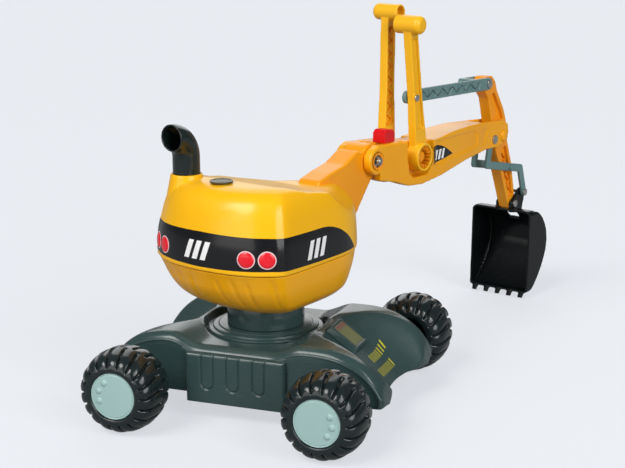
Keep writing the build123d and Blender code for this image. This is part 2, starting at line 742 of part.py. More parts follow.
def strap(y_left, y_right, points, width):
    """A flat bar with round ends and corners along the given points."""
    with BuildSketch(side(y_left)) as outline:
        with Locations(*points):
            Circle(width / 2)
        for (x0, z0), (x1, z1) in zip(points, points[1:]):
            length = hypot(x1 - x0, z1 - z0)
            with Locations(Location(((x0 + x1) / 2, (z0 + z1) / 2, 0), (0, 0, degrees(atan2(z1 - z0, x1 - x0))))):
                Rectangle(length, width)
    extrude(outline.sketch, amount=y_left - y_right)


# --- link from the right-hand lever to the stick ------------------------------------------
rivet_radius = 3
link_height = 19
link_inner = 10.2
link_outer = 15.4
link_play = 1.7             # loose fit of the link on the stick's upper rivet
with BuildPart() as link:
    strap(-link_inner, -link_outer, (link_rear, link_front), link_height)
    # fork at the front, around the stick's top
    fork_rear = along(link_rear, link_front, 0.84)
    strap(link_outer, link_inner, (fork_rear, link_front), link_height)
    slab(link_outer, -link_outer, [(fork_rear[0] - 6, fork_rear[1] - 9.5), (fork_rear[0] + 4, fork_rear[1] - 9.5),
                                   (fork_rear[0] + 4, fork_rear[1] + 9.5), (fork_rear[0] - 6, fork_rear[1] + 9.5)])
    # triangular truss pressed into the outer face
    cells = 9
    tilt = atan2(link_front[1] - link_rear[1], link_front[0] - link_rear[0])
    with BuildSketch(side(-link_outer + 1.6)) as truss:
        for cell in range(cells):
            t = 0.13 + 0.74 * cell / (cells - 1)
            centre = along(link_rear, link_front, t)
            turn = degrees(tilt) + (90 if cell % 2 else -90)
            with Locations(Location((centre[0], centre[1], 0), (0, 0, turn))):
                RegularPolygon(8, 3)
    extrude(truss.sketch, amount=3, mode=Mode.SUBTRACT)
    cylinder_between(60, -60, link_rear, rivet_radius + running_gap, mode=Mode.SUBTRACT)
    cylinder_between(60, -60, link_front, rivet_radius + link_play, mode=Mode.SUBTRACT)
write(link, "link")

with BuildPart() as link_rear_rivet:
    cylinder_between(-link_inner + 1.6, -lever_mid - lever_half, link_rear, rivet_radius)
    cylinder_between(-lever_mid - lever_half, -lever_mid - lever_half - 1.8, link_rear, 5)
write(link_rear_rivet, "link_rear_rivet")

with BuildPart() as link_front_rivet:
    cylinder_between(link_outer + 0.4, -link_outer - 0.4, link_front, rivet_radius)
    cylinder_between(-link_outer - 0.4, -link_outer - 2.2, link_front, 7)
    cylinder_between(link_outer + 2.2, link_outer + 0.4, link_front, 7)
write(link_front_rivet, "link_front_rivet")

# --- stick --------------------------------------------------------------------------------
web = 3.5                   # half thickness left between the stick's channels
with BuildPart() as stick:
    slab(stick_half, -stick_half, [(537, 360), (538, 370), (547, 376), (566, 375), (577, 364), (582, 350),
                                   (604, 318), (613, 298), (614, 276), (634, 224), (649, 160), (650, 148),
                                   (640, 143), (631, 148), (622, 166), (593, 232), (574, 270), (566, 305),
                                   (556, 340)])
    cylinder_between(stick_half, -stick_half, stick_pin, 17)
    # channels on both faces, above and below the pivot
    for y_left, y_right in ((stick_half + 1, web), (-web, -stick_half - 1)):
        slab(y_left, y_right, [(561, 343), (574, 347), (597, 315), (604, 300), (573, 302)], mode=Mode.SUBTRACT)
        slab(y_left, y_right, [(601, 250), (609, 254), (616, 254), (628, 218), (641, 168), (630, 166),
                               (602, 232)], mode=Mode.SUBTRACT)
    cylinder_between(20, -20, stick_pin, pin_radius + running_gap, mode=Mode.SUBTRACT)
    cylinder_between(20, -20, bucket_pin, pin_radius + running_gap, mode=Mode.SUBTRACT)
    cylinder_between(20, -20, link_front, rivet_radius + 0.03, mode=Mode.SUBTRACT)
write(stick, "stick")

bolt("stick_pivot_bolt", stick_pin, -boom_end_half - 0.05, boom_end_half - 0.5, pin_radius, 8, 2.4)

# --- bars that tip the bucket -------------------------------------------------------------
bar_width = 13
bar_inner = 10.1
bar_outer = 14.5
bar_step = 18.9
bar_play = 1.9              # loose fit of the bars on the rivet through the bucket's ears
elbow = (552, 233)
knee = (650, 213)
middle = along(elbow, knee, 0.72)
for name, hand in (("near_tipping_bar", -1), ("far_tipping_bar", 1)):
    with BuildPart() as bar:
        faces = sorted((hand * bar_inner, hand * bar_outer), reverse=True)
        strap(faces[0], faces[1], (bar_pin, elbow, middle), bar_width)
        faces = sorted((hand * bar_outer, hand * bar_step), reverse=True)
        strap(faces[0], faces[1], (middle, knee, ear_pin), bar_width)
        cylinder_between(60, -60, bar_pin, pin_hole, mode=Mode.SUBTRACT)
        cylinder_between(60, -60, ear_pin, rivet_radius + bar_play, mode=Mode.SUBTRACT)
    write(bar, name)

bolt("bar_pivot_bolt", bar_pin, -boom_end_half - 0.05, boom_end_half - 0.5, pin_radius, 7, 2.4)

# --- bucket -------------------------------------------------------------------------------
lip_height = 10
tooth_tip = 2
with BuildPart() as bucket:
    with BuildSketch(side(bucket_half)):
        with BuildLine():
            Line((621, 148), (634, 148))
            Spline((634, 148), (662, 134), (681, 96), (668, 52), (630, lip_height))
            Line((630, lip_height), (616, lip_height))
            Line((616, lip_height), (621, 148))
        make_face()
    extrude(amount=2 * bucket_half)
    with BuildSketch(side(bucket_half - wall)):
        with BuildLine():
            Line((608, 144.6), (634, 144.6))
            Spline((634, 144.6), (659, 132), (677.4, 96), (664.5, 54), (628, lip_height + 3.4))
            Line((628, lip_height + 3.4), (608, lip_height + 3.4))
            Line((608, lip_height + 3.4), (608, 144.6))
        make_face()
    extrude(amount=2 * (bucket_half - wall), mode=Mode.SUBTRACT)
    # digging teeth along the lip
    tooth_pitch = 22
    for count in range(5):
        mid = (count - 2) * tooth_pitch
        slab(mid + 4.5, mid - 4.5, [(616, lip_height + 2), (628, lip_height + 3), (622, lip_height - 1),
                                    (614, tooth_tip), (612.6, tooth_tip)])
    # ears for the pins
    ear_outline = [(627, 141), (628, 158), (640, 165.5), (656, 178), (668, 179), (673.5, 170), (672, 158),
                   (664, 134)]
    for y_left, y_right in ((14.2, 10.1), (-10.1, -14.2)):
        slab(y_left, y_right, ear_outline)
    slab(9.9, -9.9, [(612, 152), (612, 120), (668, 120), (668, 152)], mode=Mode.SUBTRACT)
    cylinder_between(20, -20, bucket_pin, pin_radius + 0.05, mode=Mode.SUBTRACT)
    cylinder_between(20, -20, ear_pin, rivet_radius + 0.03, mode=Mode.SUBTRACT)
write(bucket, "bucket")

with BuildPart() as bucket_bolt:
    cylinder_between(17.4, -14.3, bucket_pin, pin_radius)
    cylinder_between(-14.3, -16.5, bucket_pin, 6)
write(bucket_bolt, "bucket_bolt")

with BuildPart() as bucket_bolt_nut:
    with BuildSketch(side(17.2)):
        with Locations(bucket_pin):
            RegularPolygon(6.2, 6)
            Circle(pin_radius, mode=Mode.SUBTRACT)
    extrude(amount=2.9)
write(bucket_bolt_nut, "bucket_bolt_nut")

with BuildPart() as ear_rivet:
    cylinder_between(bar_step + 0.3, -bar_step - 0.3, ear_pin, rivet_radius)
    cylinder_between(-bar_step - 0.3, -bar_step - 2, ear_pin, 6)
    cylinder_between(bar_step + 2, bar_step + 0.3, ear_pin, 6)
write(ear_rivet, "ear_rivet")
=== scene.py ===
import json
import math
import bmesh
import bpy
import numpy as np
from mathutils import Matrix, Vector
from mathutils.bvhtree import BVHTree


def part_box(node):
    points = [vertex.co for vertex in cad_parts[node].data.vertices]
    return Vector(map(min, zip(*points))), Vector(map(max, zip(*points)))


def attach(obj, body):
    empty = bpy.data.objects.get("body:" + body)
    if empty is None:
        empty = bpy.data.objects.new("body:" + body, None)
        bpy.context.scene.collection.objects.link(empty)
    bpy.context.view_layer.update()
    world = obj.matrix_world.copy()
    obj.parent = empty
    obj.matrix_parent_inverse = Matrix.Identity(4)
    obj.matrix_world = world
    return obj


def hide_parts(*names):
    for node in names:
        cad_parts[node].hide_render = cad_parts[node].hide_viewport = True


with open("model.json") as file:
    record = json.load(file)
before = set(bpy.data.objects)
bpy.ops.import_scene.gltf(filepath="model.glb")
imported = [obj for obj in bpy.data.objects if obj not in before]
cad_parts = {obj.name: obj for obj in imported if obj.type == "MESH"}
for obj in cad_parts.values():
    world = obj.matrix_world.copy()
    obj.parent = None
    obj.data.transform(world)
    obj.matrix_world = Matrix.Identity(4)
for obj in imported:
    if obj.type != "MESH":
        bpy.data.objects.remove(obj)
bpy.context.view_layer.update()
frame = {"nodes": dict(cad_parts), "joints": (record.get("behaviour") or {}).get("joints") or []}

# Ride-on digger.  Lengths below are in millimetres until mm() turns them into metres.
# The seat body and all it carries are drawn forward, left and up, then turned about the slew axis.
joints = {joint["name"]: joint for joint in frame["joints"]}
nodes = frame["nodes"]
mastPin = Vector(joints["boom_pitch"]["pos_m"])
slewTurn = math.atan2(mastPin.y, mastPin.x)
bodyTurn = Matrix.Rotation(slewTurn, 4, "Z")


def mm(x, y, z):
    return Vector((x, y, z)) / 1000


def onBody(x, y, z):
    return bodyTurn @ mm(x, y, z)


def pinPlace(name):  # forward and up of a joint, in millimetres
    spot = bodyTurn.inverted() @ Vector(joints[name]["pos_m"]) * 1000
    return spot.x, spot.z


def smoothStep(low, high, value):
    t = np.clip((value - low) / (high - low), 0, 1)
    return t * t * (3 - 2 * t)


def softMin(a, b, softness):
    return -softness * np.logaddexp(-np.asarray(a, float) / softness, -np.asarray(b, float) / softness)


def roundAngles(count):
    return np.linspace(0, 2 * math.pi, count, endpoint=False)


def spaced(line, count, closed):  # even steps along a line of points
    run = np.r_[0, np.cumsum(np.linalg.norm(np.diff(line, axis=0), axis=1))]
    wanted = np.linspace(0, run[-1], count, endpoint=not closed)
    return np.column_stack([np.interp(wanted, run, column) for column in line.T])


def throughPoints(points, count, closed=False):  # Catmull-Rom curve, evenly spaced
    points = np.asarray(points, float)
    if closed:
        padded = np.vstack([points[-1:], points, points[:2]])
    else:
        padded = np.vstack([2 * points[:1] - points[1:2], points, 2 * points[-1:] - points[-2:-1]])
    curve = []
    for a, b, c, d in zip(padded[:-3], padded[1:-2], padded[2:-1], padded[3:]):
        t = np.linspace(0, 1, 24, endpoint=False)[:, None]
        curve.append(0.5 * (2 * b + (c - a) * t + (2 * a - 5 * b + 4 * c - d) * t ** 2
                            + (3 * b - a - 3 * c + d) * t ** 3))
    return spaced(np.vstack(curve + [padded[1:2] if closed else points[-1:]]), count, closed)


def newGroup(name, inputs, outputs):  # a tuple among the inputs is a colour
    group = bpy.data.node_groups.new(name, "ShaderNodeTree")
    for label, value in inputs.items():
        kind = "NodeSocketColor" if isinstance(value, tuple) else "NodeSocketFloat"
        group.interface.new_socket(label, in_out="INPUT", socket_type=kind).default_value = value
    for label, kind in outputs.items():
        group.interface.new_socket(label, in_out="OUTPUT", socket_type=kind)
    return group, group.nodes.new("NodeGroupInput"), group.nodes.new("NodeGroupOutput")


def addNode(tree, kind, values=(), **settings):
    node = tree.nodes.new(kind)
    for key, value in settings.items():
        setattr(node, key, value)
    for key, value in dict(values).items():
        node.inputs[key].default_value = value
    return node


def addMath(tree, operation, values=(), **settings):
    return addNode(tree, "ShaderNodeMath", values, operation=operation, **settings)


def wire(tree, *joins):  # each join is a node and its output, then a node and its input
    for source, output, target, socket in joins:
        tree.links.new(source.outputs[output], target.inputs[socket])


def buildMouldedSkin():  # cloudy pigment, faint orange peel and fine handling scratches
    group, start, end = newGroup("mouldedSkin", {
        "Colour": (0.8, 0.8, 0.8, 1), "Shade": (0.6, 0.6, 0.6, 1), "Cloud Scale": 9.0, "Cloud Amount": 0.35,
        "Roughness": 0.3, "Scratches": 0.5, "Peel Scale": 420.0},
        {"Colour": "NodeSocketColor", "Roughness": "NodeSocketFloat", "Height": "NodeSocketFloat"})
    place = addNode(group, "ShaderNodeTexCoord")
    cloud = addNode(group, "ShaderNodeTexNoise", {"Detail": 3.0, "Roughness": 0.5})
    spread = addNode(group, "ShaderNodeMapRange", {"From Min": 0.35, "From Max": 0.7})
    amount = addMath(group, "MULTIPLY")
    mix = addNode(group, "ShaderNodeMix", data_type="RGBA")
    stretch = addNode(group, "ShaderNodeMapping", {"Rotation": (0.3, 0.5, 0.9), "Scale": (30.0, 620.0, 240.0)})
    scratch = addNode(group, "ShaderNodeTexNoise", {"Scale": 1.0, "Detail": 2.0, "Roughness": 0.6})
    scratchMask = addNode(group, "ShaderNodeMapRange", {"From Min": 0.62, "From Max": 0.72})
    scratchAmount = addMath(group, "MULTIPLY")
    scratchRough = addMath(group, "MULTIPLY", {1: 0.16})
    rough = addMath(group, "ADD")
    cloudRough = addMath(group, "MULTIPLY", {1: 0.07})
    roughSum = addMath(group, "ADD", use_clamp=True)
    peel = addNode(group, "ShaderNodeTexNoise", {"Detail": 1.0})
    scratchDepth = addMath(group, "MULTIPLY", {1: -0.5})
    height = addMath(group, "ADD")
    wire(group,
         (place, "Object", cloud, "Vector"), (start, "Cloud Scale", cloud, "Scale"),
         (cloud, "Fac", spread, "Value"), (spread, 0, amount, 0), (start, "Cloud Amount", amount, 1),
         (amount, 0, mix, "Factor"), (start, "Colour", mix, "A"), (start, "Shade", mix, "B"),
         (mix, "Result", end, "Colour"),
         (place, "Object", stretch, "Vector"), (stretch, 0, scratch, "Vector"),
         (scratch, "Fac", scratchMask, "Value"), (scratchMask, 0, scratchAmount, 0),
         (start, "Scratches", scratchAmount, 1), (scratchAmount, 0, scratchRough, 0),
         (start, "Roughness", rough, 0), (scratchRough, 0, rough, 1), (cloud, "Fac", cloudRough, 0),
         (rough, 0, roughSum, 0), (cloudRough, 0, roughSum, 1), (roughSum, 0, end, "Roughness"),
         (place, "Object", peel, "Vector"), (start, "Peel Scale", peel, "Scale"),
         (scratchAmount, 0, scratchDepth, 0), (peel, "Fac", height, 0), (scratchDepth, 0, height, 1),
         (height, 0, end, "Height"))
    return group


def buildSettledDust():  # pale dust that gathers on what faces up, broken by noise
    group, start, end = newGroup("settledDust", {
        "Colour": (0.8, 0.8, 0.8, 1), "Dust Colour": (0.50, 0.52, 0.53, 1), "Amount": 0.1},
        {"Colour": "NodeSocketColor", "Mask": "NodeSocketFloat"})
    place = addNode(group, "ShaderNodeTexCoord")
    axes = addNode(group, "ShaderNodeSeparateXYZ")
    upward = addNode(group, "ShaderNodeMapRange", {"From Min": 0.2, "To Min": 0.15})
    speck = addNode(group, "ShaderNodeTexNoise", {"Scale": 60.0, "Detail": 5.0, "Roughness": 0.7})
    speckMask = addNode(group, "ShaderNodeMapRange", {"From Min": 0.45, "From Max": 0.75})
    both = addMath(group, "MULTIPLY")
    amount = addMath(group, "MULTIPLY")
    mix = addNode(group, "ShaderNodeMix", data_type="RGBA")
    wire(group,
         (place, "Normal", axes, 0), (axes, "Z", upward, "Value"), (place, "Object", speck, "Vector"),
         (speck, "Fac", speckMask, "Value"), (upward, 0, both, 0), (speckMask, 0, both, 1),
         (both, 0, amount, 0), (start, "Amount", amount, 1), (amount, 0, mix, "Factor"),
         (start, "Colour", mix, "A"), (start, "Dust Colour", mix, "B"), (mix, "Result", end, "Colour"),
         (amount, 0, end, "Mask"))
    return group


mouldedSkin = buildMouldedSkin()
settledDust = buildSettledDust()
print("shader groups ready")


finishes = {}


def plastic(name, colour, shade, roughness=0.3, coat=0.1, cloud=0.35, scratches=0.5, dust=0.03, bump=0.06,
            cloudScale=9.0, peelScale=420.0, metallic=0.0, specular=0.32):
    material = bpy.data.materials.new(name)
    material.use_nodes = True
    tree = material.node_tree
    shader = tree.nodes["Principled BSDF"]
    skin = addNode(tree, "ShaderNodeGroup", {
        "Colour": (*colour, 1), "Shade": (*shade, 1), "Cloud Scale": cloudScale, "Cloud Amount": cloud,
        "Roughness": roughness, "Scratches": scratches, "Peel Scale": peelScale}, node_tree=mouldedSkin)
    film = addNode(tree, "ShaderNodeGroup", {"Amount": dust}, node_tree=settledDust)
    relief = addNode(tree, "ShaderNodeBump", {"Strength": bump, "Distance": 0.0006})
    wire(tree, (skin, "Colour", film, "Colour"), (film, "Colour", shader, "Base Color"),
         (skin, "Roughness", shader, "Roughness"), (skin, "Height", relief, "Height"),
         (relief, "Normal", shader, "Normal"))
    for socket, value in (("Coat Weight", coat), ("Coat Roughness", 0.12), ("Metallic", metallic),
                          ("Specular IOR Level", specular)):
        shader.inputs[socket].default_value = value
    finishes[name] = material


plastic("yellowShell", (0.90, 0.475, 0.004), (0.86, 0.385, 0.003), 0.26, coat=0.12)
# a deeper orange copy of the shell's yellow for the lower shell: painted shade on the seat body's underside
plastic("yellowLowerPaintedShade", (0.92, 0.43, 0.003), (0.90, 0.345, 0.002), 0.27)
plastic("yellowBoom", (0.88, 0.395, 0.003), (0.86, 0.31, 0.002), 0.28, cloud=0.5)
plastic("yellowLever", (0.86, 0.46, 0.010), (0.84, 0.37, 0.006), coat=0.08, peelScale=520.0)
plastic("orangeMast", (0.85, 0.33, 0.004), (0.80, 0.235, 0.003), cloud=0.6)
plastic("orangeStick", (0.88, 0.34, 0.005), (0.84, 0.235, 0.003), cloud=0.6)
plastic("greenBase", (0.033, 0.064, 0.063), (0.023, 0.046, 0.046), 0.20, coat=0.22, cloud=0.5, dust=0.02)
plastic("greenRing", (0.036, 0.068, 0.067), (0.026, 0.050, 0.050), 0.18, coat=0.22, dust=0.02)
plastic("hubGrey", (0.315, 0.47, 0.455), (0.24, 0.375, 0.36), dust=0.02)
plastic("tyreBlack", (0.008, 0.014, 0.0155), (0.013, 0.021, 0.022), 0.17, coat=0.30, cloud=0.6, dust=0.02,
        bump=0.05)
plastic("bucketBlack", (0.0030, 0.0042, 0.0052), (0.006, 0.009, 0.010), 0.20, coat=0.12, scratches=0.4,
        dust=0.004, bump=0.02, specular=0.22)
plastic("pipeBlack", (0.008, 0.015, 0.015), (0.014, 0.022, 0.022), 0.16, coat=0.35, dust=0.01)
# a darker copy of the link's grey-green, laid as painted shadow in the link's truss recesses
plastic("linkShadow", (0.030, 0.060, 0.060), (0.022, 0.045, 0.045), 0.4, coat=0.0, bump=0.02)
plastic("linkGrey", (0.130, 0.230, 0.232), (0.095, 0.170, 0.172), dust=0.02)
plastic("lockRed", (0.66, 0.004, 0.008), (0.52, 0.002, 0.005), 0.26, coat=0.12, dust=0.0)
plastic("decalDark", (0.0055, 0.006, 0.0075), (0.010, 0.010, 0.012), 0.20, coat=0.12, bump=0.02, dust=0.01)
plastic("decalWhite", (0.86, 0.86, 0.86), (0.76, 0.76, 0.76), bump=0.02, dust=0.02)
plastic("decalYellow", (0.50, 0.47, 0.03), (0.30, 0.30, 0.03), bump=0.02, dust=0.0)
plastic("labelRose", (0.190, 0.062, 0.050), (0.120, 0.080, 0.040), cloud=0.8, bump=0.02)
plastic("labelGold", (0.200, 0.200, 0.050), (0.130, 0.135, 0.045), cloud=0.8, bump=0.02)
plastic("labelOlive", (0.125, 0.140, 0.046), (0.085, 0.105, 0.048), cloud=0.8, bump=0.02)
plastic("lampRed", (0.72, 0.008, 0.020), (0.80, 0.040, 0.055), 0.18, coat=0.3, bump=0.02, cloudScale=60.0,
        dust=0.0)
plastic("lampRim", (0.78, 0.56, 0.58), (0.70, 0.45, 0.48), bump=0.02, dust=0.0)
plastic("badgeDark", (0.062, 0.055, 0.016), (0.090, 0.075, 0.020), 0.32)
plastic("zincSteel", (0.60, 0.60, 0.57), (0.46, 0.46, 0.45), 0.28, coat=0.0, cloud=0.7, scratches=0.9,
        dust=0.03, bump=0.10, cloudScale=60.0, metallic=1.0)
print("finishes ready")


def shadeSmooth(piece):
    piece.data.polygons.foreach_set("use_smooth", [True] * len(piece.data.polygons))
    piece.data.update()


def dress(piece, material, body, replaced=()):
    piece.data.materials.clear()
    piece.data.materials.append(finishes[material])
    shadeSmooth(piece)
    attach(piece, body)
    if replaced:
        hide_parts(*replaced)
    return piece


def addObject(name, data):
    thing = bpy.data.objects.new(name, data)
    bpy.context.scene.collection.objects.link(thing)
    return thing


def newPiece(name, points, faces):
    mesh = bpy.data.meshes.new(name)
    mesh.from_pydata([tuple(point) for point in points], [], faces)
    work = bmesh.new()
    work.from_mesh(mesh)
    bmesh.ops.recalc_face_normals(work, faces=work.faces)
    work.to_mesh(mesh)
    work.free()
    return addObject(name, mesh)


def settle(piece):  # turns the modifiers into mesh
    shape = piece.evaluated_get(bpy.context.evaluated_depsgraph_get())
    mesh = bpy.data.meshes.new_from_object(shape)
    piece.modifiers.clear()
    piece.data = mesh
    return piece


def copyOfNode(node, name):
    piece = addObject(name, nodes[node].data.copy())
    work = bmesh.new()
    work.from_mesh(piece.data)
    bmesh.ops.remove_doubles(work, verts=work.verts, dist=2e-5)
    work.to_mesh(piece.data)
    work.free()
    return piece


def moulded(node, name, material, body, voxel=1.2, rounds=5):  # CAD form with moulded edges
    piece = copyOfNode(node, name)
    skin = piece.modifiers.new("skin", "REMESH")
    skin.mode = "VOXEL"
    skin.voxel_size = voxel / 1000
    soften = piece.modifiers.new("soften", "SMOOTH")
    soften.factor = 0.5
    soften.iterations = rounds
    settle(piece)
    return dress(piece, material, body, (node,))


def turned(node, name, material, body, width=0.5):  # CAD form with small rolled edges
    piece = copyOfNode(node, name)
    edge = piece.modifiers.new("edge", "BEVEL")
    edge.width = width / 1000
    edge.segments = 2
    edge.limit_method = "ANGLE"
    edge.angle_limit = math.radians(35)
    settle(piece)
    return dress(piece, material, body, (node,))


def gridFaces(rows, columns, closed=False):
    faces = []
    for r in range(rows - 1):
        for c in range(columns if closed else columns - 1):
            d = (c + 1) % columns
            faces.append((r * columns + c, r * columns + d, (r + 1) * columns + d, (r + 1) * columns + c))
    return faces


def fanFaces(rings, count, first=0):  # a centre point with closed rings of points round it
    faces = [(first, first + 1 + c, first + 1 + (c + 1) % count) for c in range(count)]
    return faces + [tuple(first + 1 + i for i in face) for face in gridFaces(rings, count, True)]


wheel = {"front": 153, "rear": -121, "middle": 180, "high": 55}
tyre = {"lugs": 18, "grooveDepth": 3.8, "skew": 0.42, "lugShare": 0.72, "puff": 1.5, "half": 36.0, "around": 432,
        "across": 61}


def tyreProfile():
    outer = throughPoints([(36, 36), (34.2, 42), (29, 48), (19, 52.6), (0, 55), (-19, 52.6), (-29, 48), (-34.2, 42),
                           (-36, 36)], tyre["across"])
    inner = [(-36, 30), (-33, 30), (-33, 36), (-24, 47), (0, 52 - 4.5), (24, 46), (33, 36), (28, 33), (28, 10),
             (-36, 10), (-36, 4.2), (31, 4.2), (31, 30.9), (35.2, 31.2), (36, 32.4)]
    return outer, np.array(inner, float)


def treadDepth(across, radius, around):  # across -1..1 over the tread
    hand = np.where(across >= 0, 1.0, -1.0)
    lean = tyre["skew"] * np.clip(1 - np.abs(across), 0, 0.75)  # straight on the wall, slanted on the tread
    phase = tyre["lugs"] * around / (2 * math.pi) - lean + np.where(hand > 0, 0.0, 0.5)
    saw = np.abs((phase % 1.0) - 0.5) * 2  # 0 in a lug's middle, 1 between lugs
    groove = smoothStep(tyre["lugShare"], 0.97, saw)
    fade = smoothStep(36.6, 42.0, radius) * (1 - 0.6 * smoothStep(0.12, 0.0, np.abs(across)))
    return (tyre["grooveDepth"] * groove + tyre["puff"] * saw ** 2) * fade


def makeTyre(place, x, hand):
    outer, inner = tyreProfile()
    loop = np.vstack([outer, inner])
    count = len(loop)
    around = roundAngles(tyre["around"])
    points = []
    slope = np.gradient(outer, axis=0)
    normal = np.column_stack([slope[:, 1], -slope[:, 0]])
    normal /= np.linalg.norm(normal, axis=1)[:, None]
    normal *= np.sign(normal[:, 1:2] * 0.9 + normal[:, :1] * np.sign(outer[:, :1]) * 0.4 + 1e-6)
    for angle in around:
        ring = loop.copy()
        depth = treadDepth(outer[:, 0] / tyre["half"], outer[:, 1], angle)
        ring[:tyre["across"]] = outer - normal * depth[:, None]
        for across, radius in ring:
            points.append(mm(x + radius * math.cos(angle), hand * (wheel["middle"] + across),
                             wheel["high"] + radius * math.sin(angle)))
    faces = gridFaces(len(around), count, True)
    last = (len(around) - 1) * count
    faces += [(last + c, last + (c + 1) % count, (c + 1) % count, c) for c in range(count)]
    piece = newPiece("tyre_" + place, points, faces)
    return dress(piece, "tyreBlack", "wheel_" + place, ("wheel_" + place,))


hubCap = {"radius": 30.4, "face": 34.4, "dome": 0.5, "dotRing": 20.0, "dotRadius": 4.0, "dotHeight": 2.1,
          "spread": 39.0, "back": 31.4, "around": 200}


def makeHubCap(place, x, hand, turn):
    radii = np.r_[np.linspace(0, 27.6, 58)[1:], 28.2, 28.6, 29.0, 29.4, 30.0, hubCap["radius"], hubCap["radius"]]
    count = hubCap["around"]
    around = roundAngles(count)
    dots = [math.radians(turn + k * hubCap["spread"]) for k in (-1, 0, 1)]

    def faceHeight(u, v):
        radius = math.hypot(u, v)
        height = hubCap["face"] + hubCap["dome"] * (1 - (radius / 30) ** 2)
        height -= 0.7 * math.exp(-((radius - 28.6) / 0.5) ** 2)  # ring groove inside the rim
        for angle in dots:
            away = math.hypot(u - hubCap["dotRing"] * math.cos(angle), v - hubCap["dotRing"] * math.sin(angle))
            if away < hubCap["dotRadius"]:
                height += hubCap["dotHeight"] * math.sqrt(1 - (away / hubCap["dotRadius"]) ** 2)
        return height

    points = [mm(x, hand * (wheel["middle"] + faceHeight(0, 0)), wheel["high"])]
    for k, radius in enumerate(radii):
        for angle in around:
            u, v = radius * math.cos(angle), radius * math.sin(angle)
            rolled = 0.5 if k == len(radii) - 2 else 0  # the rim's edge rolls over before it drops to the back
            height = hubCap["back"] if k == len(radii) - 1 else faceHeight(u, v) - rolled
            points.append(mm(x + u, hand * (wheel["middle"] + height), wheel["high"] + v))
    faces = fanFaces(len(radii), count)
    faces.append(tuple(range(len(points) - count, len(points))))
    piece = newPiece("hubCap_" + place, points, faces)
    return dress(piece, "hubGrey", "wheel_" + place, ("hub_cap_" + place,))


for place, hand, turn in (("front_right", -1, -8), ("front_left", 1, 150), ("rear_right", -1, 163),
                          ("rear_left", 1, 40)):
    x = wheel[place.split("_")[0]]
    makeTyre(place, x, hand)
    makeHubCap(place, x, hand, turn)
print("wheels ready")

base = {"front": 203.0, "rear": -182.0, "half": 112.0, "crest": 112.0, "deck": 98.0, "low": 34.0, "endLow": 41.0,
        "shoulder": 15.0, "wall": 2.6, "dish": 79.0, "arm": 93.0, "tip": 42.0, "around": 320,
        "rings": 90}
slide = {"top": 113, "foot": 44, "start": 84, "stop": 20, "rise": 62}  # the hollow between the arms at each end


def crestHeight(x):  # side view of the arms
    reach = np.where(x > 0, base["front"], -base["rear"])
    rise = base["deck"] + (base["crest"] - base["deck"]) * smoothStep(46, 92, np.abs(x))
    out = np.clip((np.abs(x) - (reach - base["arm"])) / base["arm"], 0, 1)
    return base["tip"] + (rise - base["tip"]) * np.sqrt(np.clip(1 - out ** 2.1, 0, 1))


def baseHeight(x, y):
    crest = crestHeight(x)
    end = np.where(x > 0, base["front"], -base["rear"]) - slide["stop"]
    fall = (slide["top"] - slide["foot"]) / (end - slide["start"])
    side = np.abs(y)
    trough = slide["top"] - fall * (np.abs(x) - slide["start"])
    height = softMin(crest, trough + slide["rise"] * smoothStep(24, 118, side) ** 1.15, 2.6)
    edge = np.clip((base["shoulder"] - (base["half"] - side)) / base["shoulder"], 0, 1)
    height = height - base["shoulder"] * (1 - np.sqrt(1 - edge ** 2))
    dish = smoothStep(base["dish"] + 4, base["dish"], np.hypot(x, y))
    return height * (1 - dish) + np.minimum(height, base["deck"]) * dish


def makeBase():
    corners = np.array([(203, 106), (203, 66), (183, 38), (183, -38), (203, -66), (203, -106), (197, -112),
                        (-176, -112), (-182, -106), (-182, -66), (-162, -38), (-162, 38), (-182, 66), (-182, 106),
                        (-176, 112), (197, 112)], float)
    for repeat in range(3):
        nextCorners = np.roll(corners, -1, axis=0)
        cuts = [corners * 0.75 + nextCorners * 0.25, corners * 0.25 + nextCorners * 0.75]
        corners = np.stack(cuts, 1).reshape(-1, 2)
    rim = spaced(np.vstack([corners, corners[:1]]), base["around"], True)
    points = [mm(0, 0, base["deck"])]
    share = np.sin(np.linspace(0, math.pi / 2, base["rings"] + 1))[1:]
    for part in share:
        ring = rim * part
        for (x, y), z in zip(ring, baseHeight(ring[:, 0], ring[:, 1])):
            points.append(mm(x, y, z))
    low = base["low"] + (base["endLow"] - base["low"]) * smoothStep(160, 182, np.abs(rim[:, 0]))
    top = baseHeight(rim[:, 0], rim[:, 1])
    drops = (0.12, 0.3, 0.5, 0.7, 0.9, 0.97, 1.0)
    for drop in drops:
        pull = 1 - 0.012 * drop ** 3
        for (x, y), z, bottom in zip(rim, top, low):
            tuck = 1 - 0.022 * min(1.0, drop / 0.25)  # the skirt sits in under the rolled lip
            points.append(mm(x * pull, y * tuck, z + (bottom - z) * drop))
    piece = newPiece("baseShell", points, fanFaces(len(share) + len(drops), base["around"]))
    thick = piece.modifiers.new("wall", "SOLIDIFY")
    thick.thickness = base["wall"] / 1000
    thick.offset = -1
    settle(piece)
    for vertex in piece.data.vertices:
        vertex.co.x = min(max(vertex.co.x, base["rear"] / 1000), base["front"] / 1000)
    return dress(piece, "greenBase", "chassis", ("chassis_shell",))


baseShell = makeBase()

sidePanel = {"rear": -66.0, "front": 73.0, "low": 24.0, "high": 91.0, "proud": 6.0, "ribs": (-35.5, 0.5, 37.0),
             "ribWidth": 16.5, "ribLow": 43.0, "groove": 1.9, "corner": 5.0}


